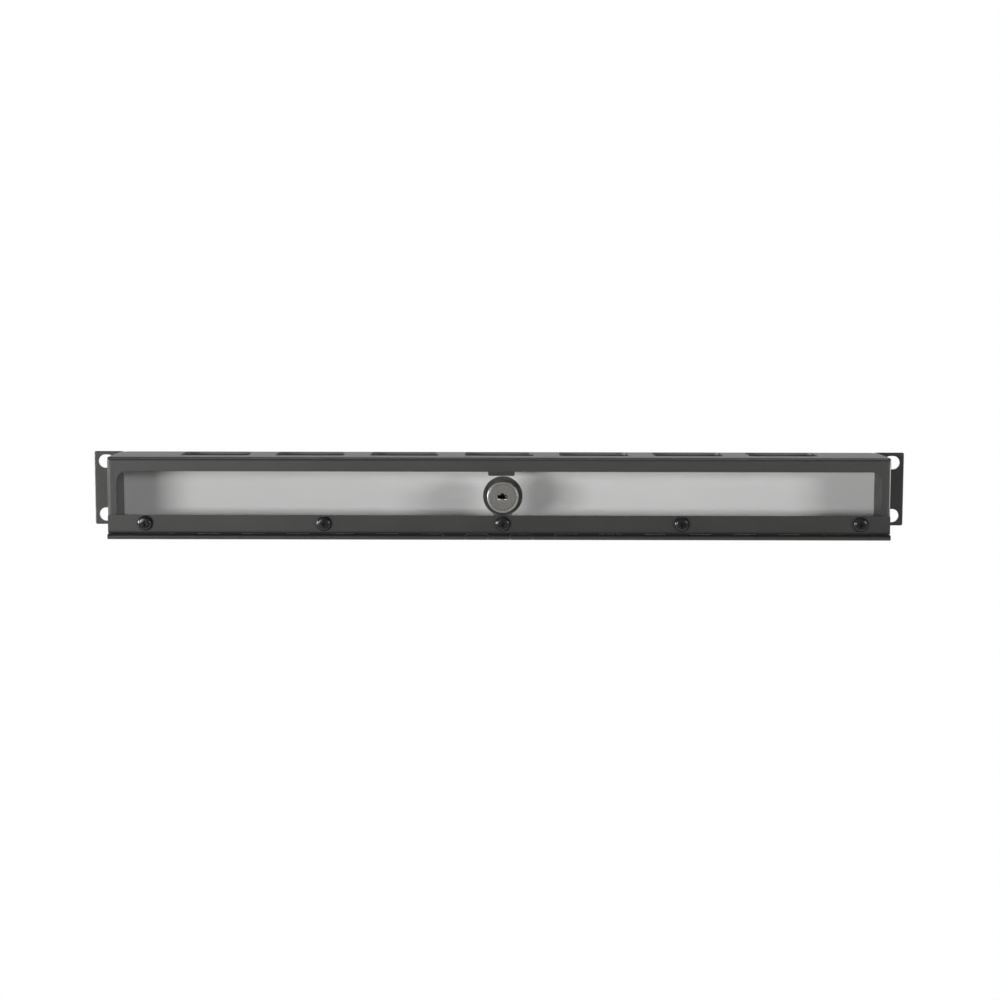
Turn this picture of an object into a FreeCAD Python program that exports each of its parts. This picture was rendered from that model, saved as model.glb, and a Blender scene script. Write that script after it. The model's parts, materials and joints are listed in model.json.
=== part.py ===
import FreeCAD, Part
import math
import os
import Sketcher

doc = FreeCAD.newDocument("RackSecurityPanel")

# Driving sizes in millimetres, counts as plain numbers
SIZES = [
    # folded frame
    ("overcut", 1.0),
    ("panel_width", 482.6),
    ("panel_height", 43.7),
    ("ear_width", 16.3),
    ("sheet", 1.5),
    ("bend_inside", 1.0),
    ("seam_radius", 0.8),
    ("box_depth", 45.0),
    ("rail_height", 8.0),
    ("stile_width", 5.5),
    ("window_corner", 6.0),
    ("ear_corner", 1.0),
    ("lip_height", 8.0),
    ("lip_relief", 2.0),
    ("relief_depth", 4.0),
    ("vent_count", 7),
    ("vent_pitch", 55.2),
    ("vent_length", 40.0),
    ("vent_front_margin", 14.5),
    ("vent_back_margin", 2.8),
    ("vent_corner", 3.0),
    ("slot_height", 8.0),
    ("slot_outer_margin", 2.45),
    ("slot_inner_margin", 4.2),
    ("slot_edge_distance", 5.975),
    ("floor_flange", 6.0),
    ("floor_clearance", 0.5),
    # strike for the cam
    ("strike_width", 15.5),
    ("strike_shift", 0.8),
    ("strike_clearance", 2.4),
    ("strike_foot", 10.2),
    ("strike_corner", 1.0),
    ("cam_clearance", 0.5),
    # clear pane
    ("pane_thick", 3.0),
    ("pane_gap", 0.3),
    ("pane_side_inset", 1.0),
    ("pane_top_inset", 0.5),
    ("pane_corner", 1.5),
    ("pane_bevel", 0.3),
    # continuous hinge
    ("leaf_thick", 0.8),
    ("pin_diameter", 1.4),
    ("pin_play", 0.05),
    ("knuckle_count", 35),
    ("knuckle_gap", 0.1),
    ("notch_clear", 0.4),
    ("roll_gap", 0.25),
    ("leaf_clearance", 2.0),
    ("lower_leaf_margin", 0.6),
    ("leaf_corner", 1.0),
    # screws, washers and nuts through the upper leaf and the pane
    ("fastener_offset", 2.1),
    ("screw_count", 5),
    ("screw_end_margin", 19.2),
    ("screw_diameter", 4.0),
    ("screw_head", 8.6),
    ("screw_head_height", 2.9),
    ("screw_dome", 1.8),
    ("screw_length", 9.5),
    ("screw_recess", 1.5),
    ("recess_width", 1.0),
    ("recess_length", 4.3),
    ("hole_play", 0.2),
    ("thread_play", 0.05),
    ("washer_diameter", 8.0),
    ("washer_thick", 0.8),
    ("nut_across", 7.0),
    ("nut_thick", 3.2),
    ("nut_chamfer", 0.2),
    # blind rivets through the lower leaf
    ("rivet_edge_distance", 3.0),
    ("rivet_diameter", 3.2),
    ("rivet_head", 6.4),
    ("rivet_head_height", 1.1),
    ("rivet_dome", 0.9),
    ("rivet_tail", 4.8),
    ("rivet_tail_height", 1.8),
    ("rivet_tail_round", 0.8),
    ("rivet_bore", 1.8),
    # cam lock, the fixed half
    ("lock_head", 18.0),
    ("lock_head_height", 5.5),
    ("head_rounding", 0.7),
    ("ring_diameter", 16.2),
    ("ring_width", 0.5),
    ("ring_depth", 0.4),
    ("barrel_diameter", 16.0),
    ("barrel_flats", 14.0),
    ("barrel_length", 16.7),
    ("stop_nub_width", 2.4),
    ("stop_nub_height", 1.0),
    ("stop_clear", 0.15),
    ("lock_nut_across", 19.0),
    ("lock_nut_thick", 4.5),
    ("washer_clearance", 0.375),
    ("lock_washer_thick", 0.8),
    ("tooth_count", 18),
    ("tooth_depth", 1.0),
    # cam lock, the turning half
    ("plug_diameter", 12.4),
    ("plug_play", 0.05),
    ("plug_sink", 0.3),
    ("collar_diameter", 14.0),
    ("collar_thick", 1.2),
    ("axial_play", 0.1),
    ("dish_diameter", 9.6),
    ("dish_depth", 0.5),
    ("keyway_width", 5.2),
    ("keyway_height", 1.6),
    ("keyway_depth", 15.5),
    ("wafer_count", 5),
    ("wafer_pitch", 2.4),
    ("wafer_setback", 4.2),
    ("wafer_thick", 0.6),
    ("wafer_height", 4.6),
    ("wafer_width", 11.0),
    ("wafer_play", 0.1),
    ("wafer_rim", 1.3),
    ("tail_width", 7.0),
    ("tail_play", 0.05),
    ("stop_thick", 1.2),
    ("cam_thick", 2.0),
    ("cam_hub", 13.0),
    ("cam_reach", 13.5),
    ("cam_tip_width", 11.0),
    ("cam_tip_corner", 2.0),
    ("cam_screw_diameter", 4.0),
    ("cam_screw_head", 7.6),
    ("cam_screw_head_height", 2.6),
    ("cam_screw_dome", 1.5),
    ("cam_screw_length", 8.0),
    ("tap_runout", 0.5),
    ("cam_washer_diameter", 8.0),
    ("cam_washer_thick", 1.0),
    ("cam_washer_split", 0.8),
]

# Places worked out from the sizes; x to the right, y to the back, z up, rack plane at y = 0
PLACES = [
    ("panel_half", "Size.panel_width / 2"),
    ("top", "Size.panel_height / 2"),
    ("under_top", "top - Size.sheet"),
    ("floor_top", "Size.sheet - top"),
    ("box_half", "panel_half - Size.ear_width"),
    ("inner_half", "box_half - Size.sheet"),
    ("bend_outside", "Size.bend_inside + Size.sheet"),
    ("front_face", "-Size.box_depth"),
    ("flange_back", "front_face + Size.sheet"),
    ("window_half", "box_half - Size.stile_width"),
    ("rail_low", "top - Size.rail_height"),
    ("window_cut_low", "-top - Size.overcut"),
    ("window_cut_depth", "Size.sheet + Size.overcut"),
    ("lip_half", "inner_half - Size.lip_relief"),
    ("lip_low", "top - Size.lip_height"),
    ("relief_front", "-Size.relief_depth"),
    ("past_back", "Size.overcut"),
    ("ear_root", "inner_half + Size.sheet / 2"),
    ("vent_front", "front_face + Size.vent_front_margin"),
    ("vent_back", "-Size.vent_back_margin"),
    ("vent_left", "-(Size.vent_count - 1) * Size.vent_pitch / 2 - Size.vent_length / 2"),
    ("vent_right", "vent_left + Size.vent_length"),
    ("vent_run", "(Size.vent_count - 1) * Size.vent_pitch"),
    ("slot_radius", "Size.slot_height / 2"),
    ("slot_in", "box_half + Size.slot_inner_margin + slot_radius"),
    ("slot_out", "panel_half - Size.slot_outer_margin - slot_radius"),
    ("slot_high", "top - Size.slot_edge_distance"),
    ("hollow_depth", "Size.box_depth - Size.sheet"),
    ("floor_flange_top", "Size.floor_flange - top"),
    ("floor_flange_in", "inner_half - Size.sheet"),
    # pane and hinge
    ("pane_back", "front_face - Size.pane_gap"),
    ("pane_front", "pane_back - Size.pane_thick"),
    ("pane_half", "box_half - Size.pane_side_inset"),
    ("pane_top", "top - Size.pane_top_inset"),
    ("leaf_front", "pane_front - Size.leaf_thick"),
    ("pin_radius", "Size.pin_diameter / 2"),
    ("knuckle_inner", "pin_radius + Size.pin_play"),
    ("knuckle_outer", "knuckle_inner + Size.leaf_thick"),
    ("axis_y", "pane_front - knuckle_outer"),
    ("axis_z", "-top - knuckle_outer"),
    ("roll_end", "knuckle_inner - Size.roll_gap"),
    ("notch_reach", "knuckle_outer + Size.notch_clear"),
    ("pane_low", "axis_z + notch_reach"),
    ("hinge_length", "2 * pane_half"),
    ("knuckle_pitch", "hinge_length / Size.knuckle_count"),
    ("lower_notch_left", "-pane_half + knuckle_pitch - Size.knuckle_gap / 2"),
    ("lower_notch_right", "-pane_half + 2 * knuckle_pitch + Size.knuckle_gap / 2"),
    ("lower_notch_count", "(Size.knuckle_count - 1) / 2"),
    ("lower_notch_run", "2 * knuckle_pitch * (lower_notch_count - 1)"),
    ("upper_notch_left", "-pane_half - Size.knuckle_gap / 2"),
    ("upper_notch_right", "-pane_half + knuckle_pitch + Size.knuckle_gap / 2"),
    ("upper_notch_count", "(Size.knuckle_count + 1) / 2"),
    ("upper_notch_run", "2 * knuckle_pitch * (upper_notch_count - 1)"),
    ("notch_front", "axis_y - knuckle_outer - Size.overcut"),
    ("notch_back", "axis_y + notch_reach"),
    ("notch_low", "axis_z - knuckle_outer - Size.overcut"),
    ("notch_high", "axis_z + notch_reach"),
    ("head_radius", "Size.lock_head / 2"),
    ("upper_leaf_top", "-head_radius - Size.leaf_clearance"),
    ("upper_leaf_rise", "upper_leaf_top - axis_z"),
    # leaf screws and rivets
    ("screw_first", "Size.fastener_offset - pane_half + Size.screw_end_margin"),
    ("screw_run", "2 * (pane_half - Size.screw_end_margin)"),
    ("screw_pitch", "screw_run / (Size.screw_count - 1)"),
    ("screw_z", "(upper_leaf_top + floor_top) / 2"),
    ("screw_radius", "Size.screw_diameter / 2"),
    ("screw_hole", "screw_radius + Size.hole_play"),
    ("screw_bore", "screw_radius + Size.thread_play"),
    ("screw_head_radius", "Size.screw_head / 2"),
    ("screw_head_front", "leaf_front - Size.screw_head_height"),
    ("screw_end", "leaf_front + Size.screw_length"),
    ("recess_half", "Size.recess_width / 2"),
    ("recess_arm", "Size.recess_length / 2"),
    ("washer_radius", "Size.washer_diameter / 2"),
    ("washer_back", "pane_back + Size.washer_thick"),
    ("nut_corner", "Size.nut_across / sqrt(3)"),
    ("nut_flat", "Size.nut_across / 2 - Size.nut_chamfer"),
    ("nut_back", "washer_back + Size.nut_thick"),
    ("floor_front", "nut_back + Size.floor_clearance"),
    ("floor_depth", "-floor_front"),
    ("nut_cut", "nut_corner + Size.overcut"),
    ("nut_cut_front", "washer_back + (nut_cut - nut_flat) / sqrt(3)"),
    ("nut_cut_back", "nut_back - (nut_cut - nut_flat) / sqrt(3)"),
    ("rivet_count", "Size.screw_count - 1"),
    ("rivet_first", "screw_first + screw_pitch / 2"),
    ("rivet_run", "(rivet_count - 1) * screw_pitch"),
    ("rivet_y", "floor_front + Size.rivet_edge_distance"),
    ("rivet_radius", "Size.rivet_diameter / 2"),
    ("rivet_hole", "rivet_radius + Size.thread_play"),
    ("rivet_head_radius", "Size.rivet_head / 2"),
    ("lower_leaf_back", "rivet_y + rivet_head_radius + Size.lower_leaf_margin"),
    ("lower_leaf_reach", "lower_leaf_back - axis_y"),
    ("rivet_seat", "-top - Size.leaf_thick"),
    ("rivet_low", "rivet_seat - Size.rivet_head_height"),
    ("rivet_tail_radius", "Size.rivet_tail / 2"),
    ("rivet_top", "floor_top + Size.rivet_tail_height"),
    ("rivet_bore_radius", "Size.rivet_bore / 2"),
    # lock
    ("head_front", "pane_front - Size.lock_head_height"),
    ("barrel_radius", "Size.barrel_diameter / 2"),
    ("barrel_back", "pane_front + Size.barrel_length"),
    ("flat_half", "Size.barrel_flats / 2"),
    ("flat_out", "barrel_radius + Size.overcut"),
    ("pane_hole", "barrel_radius + Size.hole_play"),
    ("pane_flat_left", "Size.fastener_offset - flat_half - Size.hole_play"),
    ("pane_flat_right", "Size.fastener_offset + flat_half + Size.hole_play"),
    ("plug_radius", "Size.plug_diameter / 2"),
    ("bore_radius", "plug_radius + Size.plug_play"),
    ("collar_radius", "Size.collar_diameter / 2"),
    ("collar_bore", "collar_radius + Size.plug_play"),
    ("plug_front", "head_front + Size.plug_sink"),
    ("collar_back", "plug_front + Size.collar_thick"),
    ("collar_seat", "collar_back + Size.axial_play"),
    ("ring_outer", "Size.ring_diameter / 2"),
    ("ring_inner", "ring_outer - Size.ring_width"),
    ("ring_floor", "head_front + Size.ring_depth"),
    ("nub_half", "Size.stop_nub_width / 2"),
    ("nub_low", "bore_radius + Size.stop_clear"),
    ("nub_high", "barrel_radius - Size.stop_clear"),
    ("lock_washer_back", "pane_back + Size.lock_washer_thick"),
    ("lock_washer_outer", "-screw_z - washer_radius - Size.washer_clearance"),
    ("lock_bore", "barrel_radius + Size.thread_play"),
    ("tooth_radius", "Size.tooth_depth / 2"),
    ("lock_nut_back", "lock_washer_back + Size.lock_nut_thick"),
    ("lock_nut_corner", "Size.lock_nut_across / sqrt(3)"),
    ("lock_nut_flat", "Size.lock_nut_across / 2 - Size.nut_chamfer"),
    ("lock_nut_cut", "lock_nut_corner + Size.overcut"),
    ("lock_nut_cut_front", "lock_washer_back + (lock_nut_cut - lock_nut_flat) / sqrt(3)"),
    ("lock_nut_cut_back", "lock_nut_back - (lock_nut_cut - lock_nut_flat) / sqrt(3)"),
    ("dish_radius", "Size.dish_diameter / 2"),
    ("keyway_half", "Size.keyway_width / 2"),
    ("keyway_tall", "Size.keyway_height / 2"),
    ("wafer_slot_front", "plug_front + Size.wafer_setback"),
    ("wafer_slot_back", "wafer_slot_front + Size.wafer_thick + 2 * Size.wafer_play"),
    ("wafer_slot_depth", "wafer_slot_back - wafer_slot_front"),
    ("wafer_slot_tall", "Size.wafer_height / 2 + Size.wafer_play"),
    ("wafer_slot_half", "plug_radius + Size.overcut"),
    ("wafer_front", "wafer_slot_front + Size.wafer_play"),
    ("wafer_run", "(Size.wafer_count - 1) * Size.wafer_pitch"),
    ("wafer_half", "Size.wafer_width / 2"),
    ("wafer_tall", "Size.wafer_height / 2"),
    ("wafer_hole_half", "wafer_half - Size.wafer_rim"),
    ("wafer_hole_tall", "wafer_tall - Size.wafer_rim"),
    ("stop_front", "barrel_back + Size.axial_play"),
    ("stop_back", "stop_front + Size.stop_thick"),
    ("stop_radius", "barrel_radius - Size.stop_clear"),
    ("stop_arm", "nub_half + Size.stop_clear"),
    ("tail_half", "Size.tail_width / 2"),
    ("tail_hole", "tail_half + Size.tail_play"),
    ("cam_back", "stop_back + Size.cam_thick"),
    ("tail_back", "cam_back - Size.axial_play"),
    ("tail_length", "tail_back - stop_front"),
    ("cam_hub_radius", "Size.cam_hub / 2"),
    ("cam_tip_half", "Size.cam_tip_width / 2"),
    ("cam_screw_radius", "Size.cam_screw_diameter / 2"),
    ("cam_screw_bore", "cam_screw_radius + Size.thread_play"),
    ("cam_washer_back", "cam_back + Size.cam_washer_thick"),
    ("cam_washer_radius", "Size.cam_washer_diameter / 2"),
    ("cam_washer_hole", "cam_screw_radius + Size.hole_play"),
    ("cam_washer_past", "cam_washer_radius + Size.overcut"),
    ("cam_washer_half_split", "Size.cam_washer_split / 2"),
    ("cam_screw_back", "cam_washer_back + Size.cam_screw_head_height"),
    ("cam_screw_front", "cam_washer_back - Size.cam_screw_length"),
    ("cam_bore_front", "cam_screw_front - Size.tap_runout"),
    ("tapped_depth", "tail_back - cam_bore_front"),
    ("cam_screw_head_radius", "Size.cam_screw_head / 2"),
    # strike
    ("strike_back", "stop_back - Size.cam_clearance"),
    ("strike_front", "strike_back - Size.sheet"),
    ("strike_foot_front", "strike_back - Size.strike_foot"),
    ("strike_foot_low", "under_top - Size.sheet"),
    ("strike_low", "barrel_radius + Size.strike_clearance"),
    ("strike_left", "Size.fastener_offset - Size.strike_shift - Size.strike_width / 2"),
]

size = doc.addObject("Spreadsheet::Sheet", "Size")
for row, (alias, number) in enumerate(SIZES, 1):
    size.set(f"A{row}", alias)
    size.set(f"B{row}", str(number))
    size.setAlias(f"B{row}", alias)
doc.recompute()

place = doc.addObject("Spreadsheet::Sheet", "Place")
for row, (alias, formula) in enumerate(PLACES, 1):
    place.set(f"A{row}", alias)
    place.setAlias(f"B{row}", alias)
    place.set(f"B{row}", f"={formula}")
doc.recompute()

SIZE_NAMES = {alias for alias, number in SIZES}


def ref(name):
    """The cell that an alias names, with the minus sign it may carry."""
    sign, alias = ("-", name[1:]) if name.startswith("-") else ("", name)
    owner = "Size" if alias in SIZE_NAMES else "Place"
    return f"{sign}{owner}.{alias}"


def num(name):
    """The value in the cell that an alias names."""
    if name == 0:
        return 0.0
    sign, alias = (-1.0, name[1:]) if name.startswith("-") else (1.0, name)
    owner = size if alias in SIZE_NAMES else place
    return sign * float(getattr(owner, alias))


# Sketches
def new_body(label, **at):
    """A body with its label, moved to the cells named for x, y and z."""
    body = doc.addObject("PartDesign::Body", label)
    body.Label = label
    body.AllowCompound = True
    for axis, name in at.items():
        body.setExpression(f"Placement.Base.{axis}", ref(name))
    return body


def origin_of(body, role):
    return next(item for item in body.Origin.OriginFeatures if item.Role == role)


def new_sketch(body, name, role, lift=None, along=None, up=None):
    """A sketch on an origin plane, lifted along its normal and shifted in its own plane."""
    sketch = body.newObject("Sketcher::SketchObject", f"{body.Label}_{name}")
    sketch.AttachmentSupport = (origin_of(body, role), [""])
    sketch.MapMode = "FlatFace"
    for axis, shift in (("x", along), ("y", up), ("z", lift)):
        if shift:
            sketch.setExpression(f"AttachmentOffset.Base.{axis}", ref(shift))
    return sketch


def bind(sketch, constraint, label, name):
    index = sketch.addConstraint(constraint)
    sketch.renameConstraint(index, label)
    sketch.setExpression(f"Constraints.{label}", ref(name))


def pin(sketch, geo, point, x, y):
    """Holds a point at the named x and y; 0 puts it on the axis."""
    for letter, kind, axis, name in (("x", "DistanceX", -2, x), ("y", "DistanceY", -1, y)):
        if name == 0:
            sketch.addConstraint(Sketcher.Constraint("PointOnObject", geo, point, axis))
        else:
            held = Sketcher.Constraint(kind, -1, 1, geo, point, num(name))
            bind(sketch, held, f"{letter}{geo}p{point}", name)


def polygon(sketch, corners):
    """A closed outline through the named corners."""
    first = sketch.GeometryCount
    points = [FreeCAD.Vector(num(x), num(y), 0) for x, y in corners]
    for here, there in zip(points, points[1:] + points[:1]):
        sketch.addGeometry(Part.LineSegment(here, there))
    for i in range(len(points)):
        after = first + (i + 1) % len(points)
        sketch.addConstraint(Sketcher.Constraint("Coincident", first + i, 2, after, 1))
    for i, (x, y) in enumerate(corners):
        pin(sketch, first + i, 1, x, y)


def rectangle(sketch, left, right, low, high):
    polygon(sketch, [(left, low), (right, low), (right, high), (left, high)])


def circle(sketch, x, y, radius):
    middle = FreeCAD.Vector(num(x), num(y), 0)
    ring = Part.Circle(middle, FreeCAD.Vector(0, 0, 1), num(radius))
    geo = sketch.addGeometry(ring)
    pin(sketch, geo, 3, x, y)
    bind(sketch, Sketcher.Constraint("Radius", geo, num(radius)), f"r{geo}", radius)


def arc(sketch, x, y, radius, start, end):
    middle = FreeCAD.Vector(x, y, 0)
    ring = Part.Circle(middle, FreeCAD.Vector(0, 0, 1), radius)
    return sketch.addGeometry(Part.ArcOfCircle(ring, math.radians(start), math.radians(end)))


def line(sketch, start, end):
    return sketch.addGeometry(Part.LineSegment(FreeCAD.Vector(*start, 0), FreeCAD.Vector(*end, 0)))


def join(sketch, *pairs):
    for geo, point, other, other_point in pairs:
        sketch.addConstraint(Sketcher.Constraint("Coincident", geo, point, other, other_point))


def obround(sketch, left, right, y, radius):
    """A slot between two arc centres on one level."""
    x0, x1, level, r = num(left), num(right), num(y), num(radius)
    one = arc(sketch, x0, level, r, 90, 270)
    two = arc(sketch, x1, level, r, -90, 90)
    low = line(sketch, (x0, level - r), (x1, level - r))
    high = line(sketch, (x1, level + r), (x0, level + r))
    pin(sketch, one, 3, left, y)
    pin(sketch, two, 3, right, y)
    bind(sketch, Sketcher.Constraint("Radius", one, r), f"r{one}", radius)
    meetings = ((one, 2, low, 1), (low, 2, two, 1), (two, 2, high, 1), (high, 2, one, 1))
    for geo, point, other, other_point in meetings:
        sketch.addConstraint(Sketcher.Constraint("Tangent", geo, point, other, other_point))


def double_d(sketch, x, left, right, radius):
    """A round hole with two flats at the named left and right."""
    middle, x0, x1, r = num(x), num(left), num(right), num(radius)
    rise = math.sqrt(r * r - (x1 - middle) ** 2)
    angle = math.degrees(math.atan2(rise, x1 - middle))
    high = arc(sketch, middle, 0, r, angle, 180 - angle)
    flat_left = line(sketch, (x0, rise), (x0, -rise))
    low = arc(sketch, middle, 0, r, 180 + angle, 360 - angle)
    flat_right = line(sketch, (x1, -rise), (x1, rise))
    join(sketch, (high, 2, flat_left, 1), (flat_left, 2, low, 1), (low, 2, flat_right, 1))
    join(sketch, (flat_right, 2, high, 1), (low, 3, high, 3))
    sketch.addConstraint(Sketcher.Constraint("Vertical", flat_left))
    sketch.addConstraint(Sketcher.Constraint("Vertical", flat_right))
    pin(sketch, high, 3, x, 0)
    bind(sketch, Sketcher.Constraint("Radius", high, r), f"r{high}", radius)
    bind(sketch, Sketcher.Constraint("DistanceX", -1, 1, flat_left, 1, x0), "left", left)
    bind(sketch, Sketcher.Constraint("DistanceX", -1, 1, flat_right, 1, x1), "right", right)


def hexagon(sketch, corner):
    """A hexagon about the origin with a flat at the bottom."""
    r = num(corner)
    around = sketch.addGeometry(Part.Circle(FreeCAD.Vector(0, 0, 0), FreeCAD.Vector(0, 0, 1), r), True)
    sketch.addConstraint(Sketcher.Constraint("Coincident", around, 3, -1, 1))
    bind(sketch, Sketcher.Constraint("Radius", around, r), f"r{around}", corner)
    points = [(r * math.cos(math.radians(a)), r * math.sin(math.radians(a))) for a in range(-120, 240, 60)]
    sides = [line(sketch, points[i], points[(i + 1) % 6]) for i in range(6)]
    for i in range(6):
        join(sketch, (sides[i], 2, sides[(i + 1) % 6], 1))
        sketch.addConstraint(Sketcher.Constraint("PointOnObject", sides[i], 1, around))
    for side in sides[1:]:
        sketch.addConstraint(Sketcher.Constraint("Equal", sides[0], side))
    sketch.addConstraint(Sketcher.Constraint("Horizontal", sides[0]))


# Features
def pad(body, sketch, length, back=False):
    feature = body.newObject("PartDesign::Pad", f"{sketch.Name}_pad")
    feature.Profile = sketch
    feature.setExpression("Length", ref(length))
    feature.Reversed = back
    doc.recompute()
    return feature


def pocket(body, sketch, length=None, back=False):
    """A cut against the sketch's normal, or right through when no length is named."""
    feature = body.newObject("PartDesign::Pocket", f"{sketch.Name}_cut")
    feature.Profile = sketch
    if length:
        feature.setExpression("Length", ref(length))
        feature.Reversed = back
    else:
        feature.Type = "ThroughAll"
        feature.SideType = "Symmetric"
    doc.recompute()
    return feature


def turn(body, sketch, axis="V_Axis", cut=False):
    kind = "PartDesign::Groove" if cut else "PartDesign::Revolution"
    feature = body.newObject(kind, f"{sketch.Name}_turned")
    feature.Profile = sketch
    feature.ReferenceAxis = (sketch, [axis])
    feature.Angle = 360
    doc.recompute()
    return feature


def row_of(body, feature, run, count, role="X_Axis"):
    """The feature repeated in a row over the named run."""
    pattern = body.newObject("PartDesign::LinearPattern", f"{feature.Name}_row")
    pattern.Originals = [feature]
    pattern.Direction = (origin_of(body, role), [""])
    pattern.setExpression("Length", ref(run))
    pattern.setExpression("Occurrences", ref(count))
    body.Tip = pattern
    doc.recompute()
    return pattern


def whole_row(body, run, count, role="X_Axis"):
    """The whole body so far, repeated in a row of separate solids."""
    pattern = body.newObject("PartDesign::LinearPattern", f"{body.Label}_row")
    pattern.TransformMode = "Whole shape"
    pattern.Direction = (origin_of(body, role), [""])
    pattern.setExpression("Length", ref(run))
    pattern.setExpression("Occurrences", ref(count))
    body.Tip = pattern
    doc.recompute()


def ring_of(body, feature, count):
    """The feature repeated round the body's y axis."""
    pattern = body.newObject("PartDesign::PolarPattern", f"{feature.Name}_ring")
    pattern.Originals = [feature]
    pattern.Axis = (origin_of(body, "Y_Axis"), [""])
    pattern.Angle = 360
    pattern.setExpression("Occurrences", ref(count))
    body.Tip = pattern
    doc.recompute()
    return pattern


def edges_at(feature, test=None, **at):
    """Names of the edges whose ends all lie at the named coordinates."""
    found = []
    for index, edge in enumerate(feature.Shape.Edges, 1):
        ends = [vertex.Point for vertex in edge.Vertexes]
        level = all(abs(getattr(p, axis) - value) < 1e-4 for p in ends for axis, value in at.items())
        if level and (test is None or test(edge)):
            found.append(f"Edge{index}")
    return found


def soften(body, feature, names, radius, kind="Fillet"):
    """Fillet or chamfer on the named edges."""
    made = body.newObject(f"PartDesign::{kind}", f"{feature.Name}_{kind.lower()}")
    made.Base = (feature, names)
    made.setExpression("Radius" if kind == "Fillet" else "Size", ref(radius))
    doc.recompute()
    return made


def along(axis, over=0):
    """A test for edges that run along one axis, and are longer than the named length."""
    def test(edge):
        span = edge.BoundBox
        lengths = {"x": span.XLength, "y": span.YLength, "z": span.ZLength}
        return lengths[axis] > num(over) + 1e-3 and sum(lengths.values()) - lengths[axis] < 1e-3
    return test


def rim(radius, level, axis):
    """A test for the full circle of a radius at a level of an axis."""
    def test(edge):
        span = edge.BoundBox
        low = {"y": span.YMin, "z": span.ZMin}[axis]
        depth = {"y": span.YLength, "z": span.ZLength}[axis]
        return depth < 1e-4 and abs(low - num(level)) < 1e-4 and abs(span.XLength / 2 - num(radius)) < 1e-3
    return test


# Frame shell: front flanges, slotted top with its rear lip, side walls and ears, folded from one sheet
shell = new_body("frame_shell")
outline = new_sketch(shell, "outline", "XZ_Plane")
rectangle(outline, "-box_half", "box_half", "-top", "top")
block = pad(shell, outline, "box_depth")
bends = edges_at(block, along("x"), y=num("front_face"), z=num("top"))
for side in ("-box_half", "box_half"):
    bends += edges_at(block, along("z"), x=num(side), y=num("front_face"))
block = soften(shell, block, bends, "bend_outside")
hollow = new_sketch(shell, "hollow", "XZ_Plane")
rectangle(hollow, "-inner_half", "inner_half", "window_cut_low", "under_top")
walls = pocket(shell, hollow, "hollow_depth", back=True)
inner_bends = edges_at(walls, along("x"), y=num("flange_back"), z=num("under_top"))
for side in ("-inner_half", "inner_half"):
    inner_bends += edges_at(walls, along("z"), x=num(side), y=num("flange_back"))
walls = soften(shell, walls, inner_bends, "bend_inside")

window = new_sketch(shell, "window", "XZ_Plane", lift="-front_face")
rectangle(window, "-window_half", "window_half", "window_cut_low", "rail_low")
opening = pocket(shell, window, "window_cut_depth")
corners = [name for side in ("-window_half", "window_half")
           for name in edges_at(opening, along("y"), x=num(side), z=num("rail_low"))]
opening = soften(shell, opening, corners, "window_corner")

ears = new_sketch(shell, "ears", "XZ_Plane")
rectangle(ears, "-panel_half", "-ear_root", "-top", "top")
rectangle(ears, "ear_root", "panel_half", "-top", "top")
flaps = pad(shell, ears, "sheet")

lip = new_sketch(shell, "lip", "XZ_Plane")
rectangle(lip, "-lip_half", "lip_half", "lip_low", "under_top")
lipped = pad(shell, lip, "sheet")
relief = new_sketch(shell, "relief", "XY_Plane", lift="top")
rectangle(relief, "-inner_half", "-lip_half", "relief_front", "past_back")
rectangle(relief, "lip_half", "inner_half", "relief_front", "past_back")
lipped = pocket(shell, relief, "sheet")

vent = new_sketch(shell, "vent", "XY_Plane", lift="top")
rectangle(vent, "vent_left", "vent_right", "vent_front", "vent_back")
vents = row_of(shell, pocket(shell, vent, "sheet"), "vent_run", "vent_count")
vent_corners = [name for level in ("vent_front", "vent_back")
                for name in edges_at(vents, along("z"), y=num(level))]
vents = soften(shell, vents, vent_corners, "vent_corner")

slots = new_sketch(shell, "slots", "XZ_Plane")
for level in ("slot_high", "-slot_high"):
    obround(slots, "slot_in", "slot_out", level, "slot_radius")
    obround(slots, "-slot_out", "-slot_in", level, "slot_radius")
slotted = pocket(shell, slots, "sheet", back=True)

inner_bends = edges_at(slotted, along("x"), y=num("-sheet"), z=num("under_top"))
for side in ("-box_half", "box_half"):
    inner_bends += edges_at(slotted, along("z"), x=num(side), y=num("-sheet"))
folded = soften(shell, slotted, inner_bends, "bend_inside")
outer_bends = edges_at(folded, along("x", "box_half"), y=0, z=num("top"))
for side in ("-inner_half", "inner_half"):
    outer_bends += edges_at(folded, along("z", "top"), x=num(side), y=0)
folded = soften(shell, folded, outer_bends, "bend_outside")
ear_corners = [name for side in ("-panel_half", "panel_half")
               for name in edges_at(folded, along("y"), x=num(side))]
folded = soften(shell, folded, ear_corners, "ear_corner")
seams = [name for side in ("-box_half", "box_half")
         for name in edges_at(folded, along("y"), x=num(side), z=num("top"))]
folded = soften(shell, folded, seams, "seam_radius")

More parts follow.
